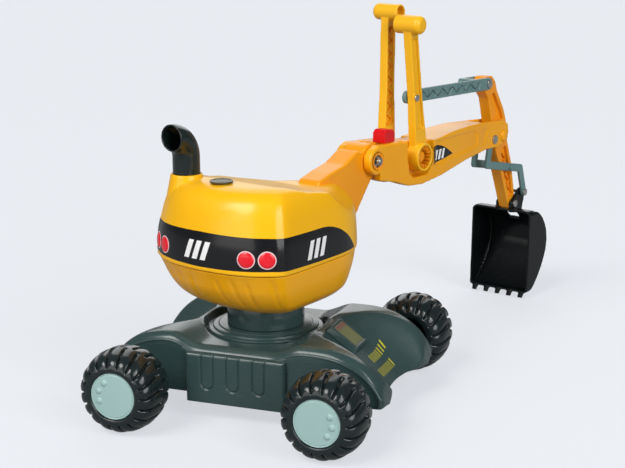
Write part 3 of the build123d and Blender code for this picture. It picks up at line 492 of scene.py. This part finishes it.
def makeSidePanel(name, hand):
    columns, rows = 190, 96
    u = np.linspace(-1, 1, columns)
    v = np.linspace(0, 1, rows)
    half, middle = (sidePanel["front"] - sidePanel["rear"]) / 2, (sidePanel["front"] + sidePanel["rear"]) / 2
    low, high, corner = sidePanel["low"], sidePanel["high"], sidePanel["corner"]
    radius = sidePanel["ribWidth"] / 2
    points = []
    for t in v:
        z = low + (high - low) * t
        for s in u:
            x = middle + s * half
            edge = min(half * (1 - abs(s)), z - low + 3, high - z)
            depth = corner - math.sqrt(max(0.0, corner ** 2 - max(0.0, corner - edge) ** 2))
            for rib in sidePanel["ribs"]:
                centre = sidePanel["ribLow"] + radius
                away = math.hypot(x - rib, z - centre) - radius if z < centre else abs(x - rib) - radius
                depth += sidePanel["groove"] * math.exp(-(away / 1.15) ** 2)
                if away < 0:
                    depth -= 0.7 * min(1.0, -away / 2.5) * float(smoothStep(0, 6, high - z))
            points.append(mm(x, hand * (base["half"] + sidePanel["proud"] - 0.8 * (1 - t) - max(0.0, depth)), z))
    front = len(points)
    points += [mm(middle + s * half, hand * (base["half"] - 2.5), low + (high - low) * t) for t in v for s in u]
    faces = gridFaces(rows, columns)
    faces += [tuple(front + i for i in reversed(face)) for face in faces]
    edges = [(r * columns + c, 1) for c in range(columns - 1) for r in (0, rows - 1)]
    edges += [(r * columns + c, columns) for r in range(rows - 1) for c in (0, columns - 1)]
    faces += [(a, a + onward, front + a + onward, front + a) for a, onward in edges]
    piece = newPiece(name, points, faces)
    return dress(piece, "greenBase", "chassis")


makeSidePanel("sidePanelRight", -1)
makeSidePanel("sidePanelLeft", 1)


def castSheet(name, outlines, aim, target, material, body, lift=0.35, rings=10):
    # thin sheets laid on another piece: each outline in two numbers, aim(a, b) gives a start point and a direction
    tree = BVHTree.FromPolygons([v.co for v in target.data.vertices], [p.vertices for p in target.data.polygons])
    points, faces = [], []
    for outline in outlines:
        outline = np.asarray(outline, float)
        middle, first = outline.mean(axis=0), len(points)
        for k in range(rings + 1):
            for corner in (outline if k else [middle]):
                start, direction = aim(*(middle + (corner - middle) * (k / rings)))
                hit = tree.ray_cast(start, direction)[0]
                points.append((start if hit is None else hit) - direction * (lift / 1000))
        faces += fanFaces(rings, len(outline), first)
    return dress(newPiece(name, points, faces), material, body)


def fine(points, step=2.0):  # a closed outline cut into short runs
    points = np.asarray(points, float)
    out = []
    for a, b in zip(points, np.roll(points, -1, axis=0)):
        count = max(1, int(np.linalg.norm(b - a) / step))
        out += [a + (b - a) * k / count for k in range(count)]
    return np.array(out)


def hatchBars(start, step, tall, count, width, lean):  # a row of plain slanted bars
    (x, y), bars = start, []
    for k in range(count):
        low, high = y + k * step, y + k * step + lean
        bars.append(fine([(x, low), (x, low + width), (x - tall, high + width), (x - tall, high)], 1.5))
    return bars


def aimDown(a, b):
    return mm(a, b, 180), Vector((0, 0, -1))


noseMark = {"upper": (154.5, 0.0), "lower": (172.5, -14.0), "step": 6.4, "tall": 10.0, "count": 8, "width": 2.5,
            "lean": 3.0}
for part in ("upper", "lower"):
    bars = hatchBars(noseMark[part], noseMark["step"], noseMark["tall"], noseMark["count"], noseMark["width"],
                     noseMark["lean"])
    castSheet(part + "NoseMark", bars, aimDown, baseShell, "decalYellow", "chassis", 0.4, 4)

labelBlock = moulded("nose_plate", "labelBlock", "greenBase", "chassis", 0.7, 2)
plateCentre = Vector([(low + high) / 2 for low, high in zip(*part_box("nose_plate"))])
noseFall = math.atan2(slide["top"] - slide["foot"], base["front"] - slide["stop"] - slide["start"])
plateNormal = Vector((math.sin(noseFall), 0, math.cos(noseFall)))
plateAlong = Vector((math.cos(noseFall), 0, -math.sin(noseFall)))


def aimAtPlate(a, b):
    return plateCentre + plateAlong * (a / 1000) + Vector((0, b / 1000, 0)) + plateNormal * 0.03, -plateNormal


stripes = [fine([(-8, b - 1), (14 - 4 * (k % 2), b - 1), (14 - 4 * (k % 2), b + 1), (-8, b + 1)])
           for k, b in enumerate((-9, -3, 3, 9))]
for name, outlines, material, lift, rings in (
        ("labelField", [fine([(-18.5, -15.8), (18.5, -15.8), (18.5, 15.8), (-18.5, 15.8)])], "labelOlive", 0.25, 6),
        ("labelTop", [fine([(-17.5, -15), (-11, -15), (-11, 15), (-17.5, 15)])], "labelRose", 0.35, 4),
        ("labelStripes", stripes, "labelGold", 0.4, 3)):
    castSheet(name, outlines, aimAtPlate, labelBlock, material, "chassis", lift, rings)


def tube(name, path, radius, material, body):  # a smooth bead or rod along points
    curve = bpy.data.curves.new(name, "CURVE")
    curve.dimensions = "3D"
    spline = curve.splines.new("NURBS")
    spline.points.add(len(path) - 1)
    for point, spot in zip(spline.points, path):
        point.co = (*spot, 1)
    spline.order_u = 4
    spline.use_endpoint_u = True
    curve.resolution_u = 6
    curve.bevel_depth = radius / 1000
    curve.bevel_resolution = 5
    curve.use_fill_caps = True
    shape = addObject(name + "Path", curve)
    mesh = bpy.data.meshes.new_from_object(shape.evaluated_get(bpy.context.evaluated_depsgraph_get()))
    bpy.data.objects.remove(shape)
    return dress(addObject(name, mesh), material, body)


bead = {"radius": 2.6, "from": 72.0, "inset": 2.2}  # rolled lip over each wheel
for side, hand in (("Right", -1), ("Left", 1)):
    for end, tip in (("Front", 1), ("Rear", -1)):
        reach = (base["front"] if tip > 0 else -base["rear"]) - bead["inset"] - 0.8
        xs = bead["from"] + (reach - bead["from"]) * np.sin(np.linspace(0, math.pi / 2, 18))
        path = []
        for x in xs:
            y = base["half"] - 3.2
            z = float(baseHeight(np.array([tip * min(x, reach - 2.0)]), np.array([y]))[0]) - 1.2
            path.append(mm(tip * min(x, reach - 1), hand * (base["half"] - bead["inset"]), z - 3.0))
        path.append(mm(tip * (reach - 2.2), hand * (base["half"] - bead["inset"]), 44.0))
        tube("fenderBead" + end + side, path, bead["radius"], "greenBase", "chassis")
print("base ready")

shell = {"around": 420, "plan": 840, "run": 817.0}  # run: once round the plan, in millimetres
planPoints = [(-129, 0), (-125.5, 40), (-116, 70), (-102, 91), (-94, 99.5), (-80, 104), (-25, 103.5), (32, 101),
              (62, 95), (84, 84), (118, 60), (146, 36), (155, 18), (157, 0)]
planPoints = [(x, -y) for x, y in planPoints] + [(x, y) for x, y in planPoints[-2:0:-1]]
plan = throughPoints(planPoints, shell["plan"], True)
# the walls: height, size as a share of the plan, how far ahead
lowerWall = [(134, 0.50, 15), (135.5, 0.565, 16), (141, 0.70, 18), (151, 0.83, 14), (162, 0.90, 9),
             (176, 0.955, 5), (190, 0.992, 3), (204.4, 1.022, 0)]
upperWall = [(205.6, 1.034, 0), (207, 1.040, 0), (222, 1.036, 0), (242, 1.024, 0), (262, 0.988, 0),
             (278, 0.955, 0), (292, 0.905, 0), (301, 0.845, 0), (306, 0.78, 0), (309, 0.70, 0)]
lowerFine, upperFine = throughPoints(lowerWall, 160), throughPoints(upperWall, 200)


def seatHeight(x):
    return np.interp(x, (-160, -66, -50, -22, 20, 76, 180), (310.5, 310, 307, 298, 291, 281, 276))


def wallPoint(run, z, out=0.0):  # a place on the shell, run millimetres round from the back's middle
    table = lowerFine if z < 205 else upperFine
    scale, ahead = np.interp(z, table[:, 0], table[:, 1]), np.interp(z, table[:, 0], table[:, 2])
    count = shell["plan"]
    spot = (run / shell["run"] * count) % count
    i = int(spot)
    a, b = plan[i], plan[(i + 1) % count]
    x, y = a + (b - a) * (spot - i)
    tangent = plan[(i + 3) % count] - plan[i - 3]
    tangent /= np.linalg.norm(tangent)
    normal = np.array([-tangent[1], tangent[0]])
    if np.dot(normal, (x, y)) < 0:
        normal = -normal
    x, y = x * scale + ahead + normal[0] * out, y * scale + normal[1] * out
    return onBody(x, y, z)


def flutes(run, z):  # shallow curved grooves low on the back corners
    depth = 0.0
    for side in (-1, 1):
        for start in (18, 42, 62, 96):
            middle = side * (start + (205 - z) * 0.16)
            away = (run - middle + shell["run"] / 2) % shell["run"] - shell["run"] / 2
            depth += 1.5 * math.exp(-(away / 3.2) ** 2)
    return depth * float(smoothStep(204, 188, z)) * float(smoothStep(134, 150, z))


def makeLowerShell():
    rows = throughPoints(lowerWall, 46)
    runs = np.linspace(0, shell["run"], shell["around"], endpoint=False)
    points = [wallPoint(run, z, -flutes(run, z)) for z, scale, ahead in rows for run in runs]
    columns = shell["around"]
    faces = gridFaces(len(rows), columns, True)
    faces.append(tuple(range(columns)))
    start = len(points)
    points += [onBody(x * 0.985, y * 0.985, 203.5) for x, y in throughPoints(planPoints, columns, True)]
    last = (len(rows) - 1) * columns
    faces += [(last + c, last + (c + 1) % columns, start + (c + 1) % columns, start + c) for c in range(columns)]
    piece = newPiece("lowerShell", points, faces)
    # the lower shell wears the deeper orange copy of the yellow as painted shade
    return dress(piece, "yellowLowerPaintedShade", "upper_body", ("body_lower_shell",))


def cornerFacet(x, y):  # the flat that falls off each front corner of the body
    along = (x - 62) * 0.62 + (np.abs(y) - 62) * 0.78
    return 283.0 - 0.95 * along + 26 * smoothStep(40, -30, x)


def makeUpperShell():
    wall = throughPoints(upperWall, 58)
    count = shell["plan"]
    runs = np.linspace(0, count, shell["around"], endpoint=False)
    ring = np.column_stack([np.interp(runs, np.arange(count + 1), np.r_[plan[:, k], plan[0, k]]) for k in range(2)])
    inward = np.linspace(0.70, 0.0, 34)[1:-1]
    rows = [(z, scale) for z, scale, ahead in wall] + [(309 + 2 * (0.70 - s), s) for s in inward]
    points = []
    for z, scale in rows:
        x, y = ring[:, 0] * scale, ring[:, 1] * scale
        seat = seatHeight(x) - 3.0 * np.exp(-((y / 52) ** 2)) * smoothStep(-60, -5, x)
        seat = softMin(seat, cornerFacet(x, y), 2.2)
        height = softMin(np.full(len(x), z), seat + 0.8, 1.7) if z > 240 else np.full(len(x), z)
        points += [onBody(*spot) for spot in zip(x, y, height)]
    columns = shell["around"]
    centre = len(points)
    points.append(onBody(0, 0, float(seatHeight(0)) - 1))
    faces = gridFaces(len(rows), columns, True)
    last = (len(rows) - 1) * columns
    faces += [(last + c, last + (c + 1) % columns, centre) for c in range(columns)]
    start = len(points)
    points += [onBody(x * 0.99, y * 0.99, 205.6) for x, y in ring]
    faces += [(c, (c + 1) % columns, start + (c + 1) % columns, start + c) for c in range(columns)]
    piece = newPiece("upperShell", points, faces)
    return dress(piece, "yellowShell", "upper_body", ("body_upper_shell",))


lowerShell = makeLowerShell()
upperShell = makeUpperShell()
exhaustSeat = {"at": (-75.0, 70.0), "around": 96}


def makeExhaustSeat():  # the flared collar that the pipe stands in
    profile = throughPoints([(18.2, 311.5), (18.6, 313.0), (20.2, 313.0), (21.2, 311.0), (22.4, 305.0),
                             (24.4, 295.0), (26.8, 283.0), (28.6, 270.0), (28.6, 255.0)], 40)
    around = roundAngles(exhaustSeat["around"])
    x, y = exhaustSeat["at"]
    points = [onBody(x + radius * math.cos(angle), y + radius * math.sin(angle), z)
              for radius, z in profile for angle in around]
    piece = newPiece("exhaustSeat", points, gridFaces(len(profile), exhaustSeat["around"], True))
    return dress(piece, "yellowShell", "upper_body")


makeExhaustSeat()


def wallSheet(name, lows, highs, runs, material, out=0.35, rows=12):  # a sheet on the shell between two edges
    points = []
    for t in np.linspace(0, 1, rows):
        for run, low, high in zip(runs, lows, highs):
            points.append(wallPoint(run, low + (high - low) * t, out))
    piece = newPiece(name, points, gridFaces(rows, len(runs)))
    return dress(piece, material, "upper_body")


band = {"reach": 268.0, "columns": 360}
bandRuns = np.linspace(-band["reach"], band["reach"], band["columns"])
bandHigh = np.interp(np.abs(bandRuns), (0, 178, 192, 204, 216, 226, 236, 246, 255, 262, 266, 268),
                     (255.5, 252.5, 252.5, 251.5, 249, 245.5, 240.5, 234, 226.5, 219, 214, 210.5))
bandLow = np.interp(np.abs(bandRuns), (0, 60, 100, 180, 268), (211, 212, 212.5, 210.5, 210))
wallSheet("bandDecal", bandLow, np.maximum(bandHigh, bandLow + 0.3), bandRuns, "decalDark")


def wallPatch(name, corners, material, out=0.6, rings=5):  # a filled outline of (run, height) on the shell
    corners = fine(corners, 2.0)
    middle = corners.mean(axis=0)
    points = [wallPoint(*middle, out)]
    for k in range(1, rings + 1):
        points += [wallPoint(*(middle + (corner - middle) * k / rings), out) for corner in corners]
    piece = newPiece(name, points, fanFaces(rings, len(corners)))
    return dress(piece, material, "upper_body")


stripe = {"width": 8.0, "pitch": 13.0, "lean": 8.0, "height": 24.0}
for label, middleRun, middleHeight in (("back", -3, 232), ("right", 178, 229), ("left", -178, 229)):
    for k in range(3):
        run = middleRun + (k - 1) * stripe["pitch"]
        low, high = middleHeight - stripe["height"] / 2, middleHeight + stripe["height"] / 2
        half, lean = stripe["width"] / 2, stripe["lean"] / 2
        wallPatch(f"bandStripe_{label}{k}", [(run - half - lean, low), (run + half - lean, low),
                                             (run + half + lean, high), (run - half + lean, high)], "decalWhite")

lamp = {"rim": 12.6, "lens": 10.6, "dome": 1.6, "around": 48, "rings": 8}


def makeLamp(name, run, height):
    count, rings = lamp["around"], lamp["rings"]
    turnsRound = roundAngles(count)
    for part, radius, low, dome, material in (("Rim", lamp["rim"], 0.7, 0.0, "lampRim"),
                                              ("Lens", lamp["lens"], 0.9, lamp["dome"], "lampRed")):
        points = [wallPoint(run, height, low + dome)]
        for k in range(1, rings + 1):
            t = k / rings
            points += [wallPoint(run + radius * t * math.cos(a), height + radius * t * math.sin(a),
                                 low * (1 - t ** 8) + dome * math.sqrt(1 - t * t)) for a in turnsRound]
        dress(newPiece(name + part, points, fanFaces(rings, count)), material, "upper_body")


for hand, side in ((1, "Right"), (-1, "Left")):
    makeLamp("innerLamp" + side, hand * 67, 227)
    makeLamp("outerLamp" + side, hand * 93, 227)

moulded("mast", "mastColumn", "orangeMast", "upper_body", 1.6, 10)
moulded("exhaust_pipe", "exhaustPipe", "pipeBlack", "upper_body", 1.0, 4)
turned("seat_badge", "seatBadge", "badgeDark", "upper_body", 0.4)
print("seat body ready")


def bodySpots(piece):  # a piece's points forward, left and up, in millimetres
    spots = np.empty(len(piece.data.vertices) * 3)
    piece.data.vertices.foreach_get("co", spots)
    spots = spots.reshape(-1, 3) * 1000
    cos, sin = math.cos(slewTurn), math.sin(slewTurn)
    return spots[:, 0] * cos + spots[:, 1] * sin, spots[:, 1] * cos - spots[:, 0] * sin, spots[:, 2]


def storeSpots(piece, x, y, z):
    cos, sin = math.cos(slewTurn), math.sin(slewTurn)
    spots = np.column_stack([x * cos - y * sin, x * sin + y * cos, z]) / 1000
    piece.data.vertices.foreach_set("co", spots.ravel())
    piece.data.update()


boomSides = {"from": 380, "to": 540, "rearHalf": 31, "frontHalf": 19, "skin": 3.0}


def press(piece, outline, depth, roll=1.8):  # sinks a field into both sides of the boom, outline anticlockwise
    x, y, z = bodySpots(piece)
    inside = np.full(len(x), 1e9)
    for (x0, z0), (x1, z1) in zip(outline, outline[1:] + outline[:1]):
        away = ((x1 - x0) * (z - z0) - (z1 - z0) * (x - x0)) / math.hypot(x1 - x0, z1 - z0)
        inside = softMin(inside, away, 1.2)
    half = np.interp(x, (boomSides["from"], boomSides["to"]), (boomSides["rearHalf"], boomSides["frontHalf"]))
    outer = smoothStep(-boomSides["skin"], 0.8 - boomSides["skin"], np.abs(y) - half)
    storeSpots(piece, x, y - np.sign(y) * depth * smoothStep(0, roll, inside) * outer, z)


boomBody = moulded("boom", "boomBeam", "yellowBoom", "boom", 1.5, 4)
press(boomBody, [(367, 262), (440, 266.5), (503, 271), (508, 276), (506, 293), (498, 298), (367, 302)], 1.8)
press(boomBody, [(516, 268), (530, 270), (544, 294), (518, 297)], 1.2)
press(boomBody, [(252.6, 262), (253.9, 262), (253.9, 306), (252.6, 306)], 1.0, 0.6)
leverLeft = moulded("left_lever", "leftLever", "yellowLever", "boom", 0.9, 4)
leverRight = moulded("right_lever", "rightLever", "yellowLever", "right_lever", 0.9, 4)
moulded("stick", "stickBeam", "orangeStick", "stick", 0.9, 4)
linkBar = moulded("link", "linkBar", "linkGrey", "link", 0.6, 2)
moulded("near_tipping_bar", "nearTippingBar", "linkGrey", "tipping_bars", 0.6, 3)
moulded("far_tipping_bar", "farTippingBar", "linkGrey", "tipping_bars", 0.6, 3)
bucketScoop = moulded("bucket", "bucketScoop", "bucketBlack", "bucket", 1.25, 3)
moulded("red_lock", "redLock", "lockRed", "red_lock", 0.5, 3)


def ribStrip(name, path, yLow, yHigh, thickness, material, body):  # thin upright ribs along a zigzag
    points, faces = [], []
    for (x0, z0), (x1, z1) in zip(path, path[1:]):
        length = math.hypot(x1 - x0, z1 - z0)
        nx, nz = -(z1 - z0) / length * thickness / 2, (x1 - x0) / length * thickness / 2
        start = len(points)
        for y, grow in ((yLow, 1.0), (yHigh, 0.7)):
            for x, z, s in ((x0, z0, 1), (x1, z1, 1), (x1, z1, -1), (x0, z0, -1)):
                points.append(onBody(x + s * nx * grow, y, z + s * nz * grow))
        quads = ((0, 1, 2, 3), (4, 5, 6, 7), (0, 1, 5, 4), (1, 2, 6, 5), (2, 3, 7, 6), (3, 0, 4, 7))
        faces += [tuple(start + i for i in quad) for quad in quads]
    piece = newPiece(name, points, faces)
    edge = piece.modifiers.new("edge", "BEVEL")
    edge.width = 0.0004
    edge.segments = 2
    settle(piece)
    return dress(piece, material, body)


def zigzag(low, high, widthLow, widthHigh, count):
    path = []
    for k in range(count + 1):
        t = k / count
        x, z = low[0] + (high[0] - low[0]) * t, low[1] + (high[1] - low[1]) * t
        half = (widthLow + (widthHigh - widthLow) * t) / 2
        path.append((x + (half if k % 2 else -half), z))
    return path


lattice = {"count": 15, "thickness": 2.6}
ribStrip("leftLeverLattice", zigzag((316.6, 326), (318.6, 472), 14.0, 11.5, lattice["count"]), 20.6, 17.2,
         lattice["thickness"], "orangeStick", "boom")
for side, hand in (("Near", -1), ("Far", 1)):
    ribStrip("stickLattice" + side, zigzag((610, 244), (634, 176), 9.0, 8.0, 7), hand * 3.2, hand * 8.0, 1.8,
             "orangeStick", "stick")


def aimFromRight(a, b):
    return onBody(a, -80, b), bodyTurn.to_3x3() @ Vector((0, 1, 0))


def aimFromLeft(a, b):
    return onBody(a, 80, b), bodyTurn.to_3x3() @ Vector((0, -1, 0))


boomMark = fine(np.vstack([throughPoints([(367.5, 293.5), (378, 293.2), (392, 290), (405, 284.5), (416, 278.5),
                                          (424.5, 273.5)], 40), [(367.5, 266.5)]]))
boomMarkRear = fine([(351, 264.5), (366, 266.2), (366, 293.6), (351, 292.5)])
boomBars = [fine([(x, 271), (x + 5.5, 271), (x + 10, 286), (x + 4.5, 286)]) for x in (370, 379.5, 389)]
for side, aim in (("Right", aimFromRight), ("Left", aimFromLeft)):
    castSheet("boomMark" + side, [boomMark, boomMarkRear], aim, boomBody, "decalDark", "boom",
              0.35, 8)
    castSheet("boomBars" + side, boomBars, aim, boomBody, "decalWhite", "boom", 0.6, 3)


def roundCorners(piece, middle, size, weight):  # cuts that make a corner square in two directions round
    x, y, z = bodySpots(piece)
    a, b = (part / size for part in middle(x, y, z))
    corner = (a > 0) & (b > 0) & (np.maximum(a, b) < 1.4)
    shrink = np.where(corner, np.maximum(a, b) / np.maximum(np.hypot(a, b), 1e-6), 1.0)
    shrink = 1 - (1 - shrink) * weight(x, z)
    return x, y, z, a * size * (1 - shrink), b * size * (1 - shrink)


mouth = {"half": 55.0, "top": 148.0, "low": 10.0, "topRound": 9.0, "lowRound": 6.0}


def roundBucket():  # the mouth's upper corners, then the lower ones
    for edge, size, upward, weight in (
            (mouth["top"], mouth["topRound"], 1, lambda x, z: smoothStep(652, 636, x)),
            (mouth["low"], mouth["lowRound"], -1, lambda x, z: np.where(z > 9.5, 1.0, 0.0))):
        x, y, z, cutY, cutZ = roundCorners(
            bucketScoop, lambda x, y, z: (np.abs(y) - (mouth["half"] - size), upward * z - (upward * edge - size)),
            size, weight)
        storeSpots(bucketScoop, x, y - np.sign(y) * cutY, z - upward * cutZ)


def domeGrip(piece, centre, radius, end, hand, size):  # rounds the outer end of a hand grip
    def middle(x, y, z):
        away = np.hypot(x - centre[0], z - centre[1])
        return away - (radius - size), np.where(away < radius + 1, hand * y - (hand * end - size), -1.0)

    x, y, z, cutOut, cutEnd = roundCorners(piece, middle, size, lambda x, z: 1.0)
    away = np.maximum(np.hypot(x - centre[0], z - centre[1]), 1e-6)
    storeSpots(piece, x - (x - centre[0]) / away * cutOut, y - hand * cutEnd, z - (z - centre[1]) / away * cutOut)


roundBucket()
domeGrip(leverRight, (309, 479), 13.5, -45.0, -1, 8.0)
domeGrip(leverLeft, (319, 494), 12.0, 45.0, 1, 7.0)

pivotX, pivotZ = pinPlace("boom_pitch")
leverX, leverZ = pinPlace("lever_swing")
steelNodes = {
    "chassis": ("underplate_screws", "slew_spindle", "slew_nut", "slew_washer", "front_axle", "rear_axle",
                "axle_push_nuts"),
    "upper_body": ("collar_screws",),
    "boom": ("boom_pivot_bolt", "boom_pivot_nut", "lever_pivot_bolt", "lever_pivot_nut", "stick_pivot_bolt",
             "bar_pivot_bolt"),
    "right_lever": ("link_rear_rivet",), "stick": ("link_front_rivet",),
    "bucket": ("bucket_bolt", "bucket_bolt_nut", "ear_rivet"),
}
for body, members in steelNodes.items():
    for node in members:
        words = node.split("_")
        turned(node, words[0] + "".join(word.title() for word in words[1:]), "zincSteel", body, 0.4)


def lathe(name, profile, centre, material, body, ridges=0, ridgeDepth=0.0, ridgeFrom=0.0):
    # turned about the body's left-right axis: profile is (radius, left), with shallow radial ridges if asked
    count = 144
    around = roundAngles(count)
    x, z = centre
    points = []
    for radius, left in profile:
        for angle in around:
            depth = ridgeDepth * (0.5 + 0.5 * math.cos(ridges * angle)) if radius > ridgeFrom and ridges else 0.0
            points.append(onBody(x + radius * math.cos(angle), left + depth, z + radius * math.sin(angle)))
    return dress(newPiece(name, points, gridFaces(len(profile), count, True)), material, body)


nut = {"across": 11.5, "tall": 2.6, "twist": 0.2, "around": 48}


def hexNut(name, centre, left, hand, material, body):  # nut with chamfers and the bolt's end
    across, tall, twist, count = nut["across"], nut["tall"], nut["twist"], nut["around"]
    x, z = centre
    points = []
    levels = ((across * 0.52, 0.0), (across * 0.575, 0.35), (across * 0.575, tall - 0.5), (across * 0.50, tall),
              (across * 0.30, tall), (across * 0.27, tall - 0.6), (across * 0.26, tall + 0.8),
              (across * 0.20, tall + 1.2), (0.001, tall + 1.25))
    for radius, height in levels:
        for k in range(count):
            angle = k / count * 2 * math.pi + twist
            flat = across / 2 / math.cos((angle - twist + math.pi / 6) % (math.pi / 3) - math.pi / 6)
            r = min(radius, flat)
            points.append(onBody(x + r * math.cos(angle), left + hand * height, z + r * math.sin(angle)))
    return dress(newPiece(name, points, gridFaces(len(levels), count, True)), material, body)


def headOf(node):  # where a bolt's near head is: forward, up, left, radius
    spots = np.array([bodyTurn.inverted() @ vertex.co for vertex in nodes[node].data.vertices]) * 1000
    x, z = (spots[:, 0].min() + spots[:, 0].max()) / 2, (spots[:, 2].min() + spots[:, 2].max()) / 2
    left = spots[:, 1].min()
    head = spots[spots[:, 1] < left + 1.0]
    return x, z, left, np.hypot(head[:, 0] - x, head[:, 2] - z).max()


for side, hand in (("Near", -1), ("Far", 1)):
    lathe("pivotRecess" + side, [(9.1, hand * 30.6), (10.0, hand * 30.2), (12.6, hand * 30.2), (12.9, hand * 31.4)],
          (pivotX, pivotZ), "orangeStick", "boom", 18, hand * 0.7, 9.5)
x, z, left, radius = headOf("stick_pivot_bolt")  # moulded cover over the stick's pivot
lathe("stickPivotCover", [(0.05, left - 1.4), (radius * 0.6, left - 1.2), (radius + 0.2, left - 0.5),
                          (radius + 1.2, left + 0.6), (radius + 1.4, left + 2.4)], (x, z), "yellowBoom", "boom")

# thin dark bars laid zigzag on both sides of the link: painted shadow standing in for the shade in the truss
# recesses
trussShadeLayout = {"from": 343.0, "to": 527.0, "pitch": 13.5, "half": 5.2, "width": 1.5, "slope": (365 - 372) / (547 - 317)}
linkX, linkZ = pinPlace("link_swing")
trussShadowBars = []
corners = [(x, linkZ + (x - linkX) * trussShadeLayout["slope"] + (trussShadeLayout["half"] if k % 2 else -trussShadeLayout["half"]))
           for k, x in enumerate(np.arange(trussShadeLayout["from"], trussShadeLayout["to"], trussShadeLayout["pitch"]))]
for (x0, z0), (x1, z1) in zip(corners, corners[1:]):
    length = math.hypot(x1 - x0, z1 - z0)
    nx, nz = (z1 - z0) / length * trussShadeLayout["width"] / 2, (x0 - x1) / length * trussShadeLayout["width"] / 2
    trussShadowBars.append(fine([(x0 - nx, z0 - nz), (x1 - nx, z1 - nz), (x1 + nx, z1 + nz), (x0 + nx, z0 + nz)]))
for side, aim in (("Right", aimFromRight), ("Left", aimFromLeft)):
    castSheet("linkTrussShadow" + side, trussShadowBars, aim, linkBar, "linkShadow", "link", 0.25, 3)
hexNut("pivotNut", (pivotX, pivotZ), -32.2, -1, "zincSteel", "boom")
hubRibs = {"count": 14, "inner": 11.0, "outer": 17.2, "thickness": 1.5, "low": -37.2, "high": -27.0}
lathe("leverHubCap", [(0.05, -32.6), (4.0, -32.4), (7.6, -31.4), (9.3, -29.4), (9.5, -26.5)], (leverX, leverZ),
      "orangeStick", "right_lever")
for k in range(hubRibs["count"]):
    angle = 2 * math.pi * k / hubRibs["count"]
    path = [(leverX + radius * math.cos(angle), leverZ + radius * math.sin(angle))
            for radius in (hubRibs["inner"], hubRibs["outer"])]
    ribStrip(f"leverHubRib{k}", path, hubRibs["high"], hubRibs["low"], hubRibs["thickness"], "orangeStick",
             "right_lever")
turned("slew_ring", "slewRing", "greenRing", "chassis", 0.8)
turned("slew_collar", "slewCollar", "greenRing", "upper_body", 0.6)
turned("wheel_spacers", "wheelSpacers", "greenBase", "chassis", 0.6)
turned("underplate", "underPlate", "greenBase", "chassis", 0.5)
print("boom and linkage ready")

studio = {"floor": (0.24, 0.25, 0.26), "glow": (0.590, 0.607, 0.642), "air": (0.86, 0.92, 1.0), "airStrength": 0.12}


def makeFloor():
    size, drop = 40.0, -0.0005
    corners = [(-size, -size, drop), (size, -size, drop), (size, size, drop), (-size, size, drop)]
    floor = newPiece("floor", corners, [(0, 1, 2, 3)])
    material = bpy.data.materials.new("paleFloor")
    material.use_nodes = True
    shader = material.node_tree.nodes["Principled BSDF"]
    shader.inputs["Base Color"].default_value = (*studio["floor"], 1)
    shader.inputs["Roughness"].default_value = 0.95
    shader.inputs["Specular IOR Level"].default_value = 0.0
    seen = addNode(material.node_tree, "ShaderNodeLightPath")  # the sweep glows, but doesn't light the toy
    shades = {"A": (0.10, 0.10, 0.10, 1), "B": (*studio["glow"], 1)}
    glow = addNode(material.node_tree, "ShaderNodeMix", shades, data_type="RGBA")
    wire(material.node_tree, (seen, "Is Camera Ray", glow, "Factor"), (glow, "Result", shader, "Emission Color"))
    shader.inputs["Emission Strength"].default_value = 1.0
    floor.data.materials.append(material)


def addLight(kind, name, spot, aim, power, colour=(1, 1, 1), size=(1, 1), angle=0.5):
    light = bpy.data.lights.new(name, kind)
    light.energy = power
    light.color = colour
    if kind == "AREA":
        light.shape = "RECTANGLE"
        light.size, light.size_y = size
    else:
        light.angle = angle
    stand = addObject(name, light)
    stand.location = spot
    stand.rotation_euler = (Vector(aim) - Vector(spot)).to_track_quat("-Z", "Y").to_euler()


makeFloor()
addLight("SUN", "softKey", (-0.9, -2.2, 2.6), (0.0, 0.1, 0.1), 1.75, (1.0, 0.985, 0.95), angle=0.5)
addLight("SUN", "softFill", (2.6, -1.5, 1.3), (0.0, 0.1, 0.1), 1.75, angle=0.7)
addLight("SUN", "lowFill", (-0.9, -2.4, 0.25), (0.0, 0.1, 0.1), 1.1, (1.0, 0.98, 0.94), angle=0.9)
addLight("SUN", "backFill", (-0.8, 2.6, 1.7), (0.0, 0.1, 0.1), 0.9, angle=0.9)
addLight("AREA", "leftSoftbox", (-1.3, -1.5, 1.9), (0.0, 0.1, 0.2), 7, size=(0.35, 0.9))
addLight("AREA", "rightSoftbox", (1.6, -0.7, 1.5), (0.1, 0.2, 0.2), 6, size=(0.25, 0.8))
world = bpy.data.worlds.new("studioAir")
world.use_nodes = True
world.node_tree.nodes["Background"].inputs["Color"].default_value = (*studio["air"], 1)
world.node_tree.nodes["Background"].inputs["Strength"].default_value = studio["airStrength"]
bpy.context.scene.world = world
bpy.context.scene.view_settings.view_transform = "Standard"

cameraView = {"place": (0.75461, -1.81025, 0.70894), "ahead": (-0.34456, 0.90779, -0.23915), "roll": -0.2,
              "lens": 87.36}
cameraData = bpy.data.cameras.new("camera")
cameraData.lens = cameraView["lens"]
cameraData.sensor_width = 36
camera = addObject("camera", cameraData)
camera.location = cameraView["place"]
facing = Vector(cameraView["ahead"]).to_track_quat("-Z", "Y").to_matrix().to_4x4()
camera.rotation_euler = (facing @ Matrix.Rotation(math.radians(cameraView["roll"]), 4, "Z")).to_euler()
bpy.context.scene.camera = camera
print("studio ready")
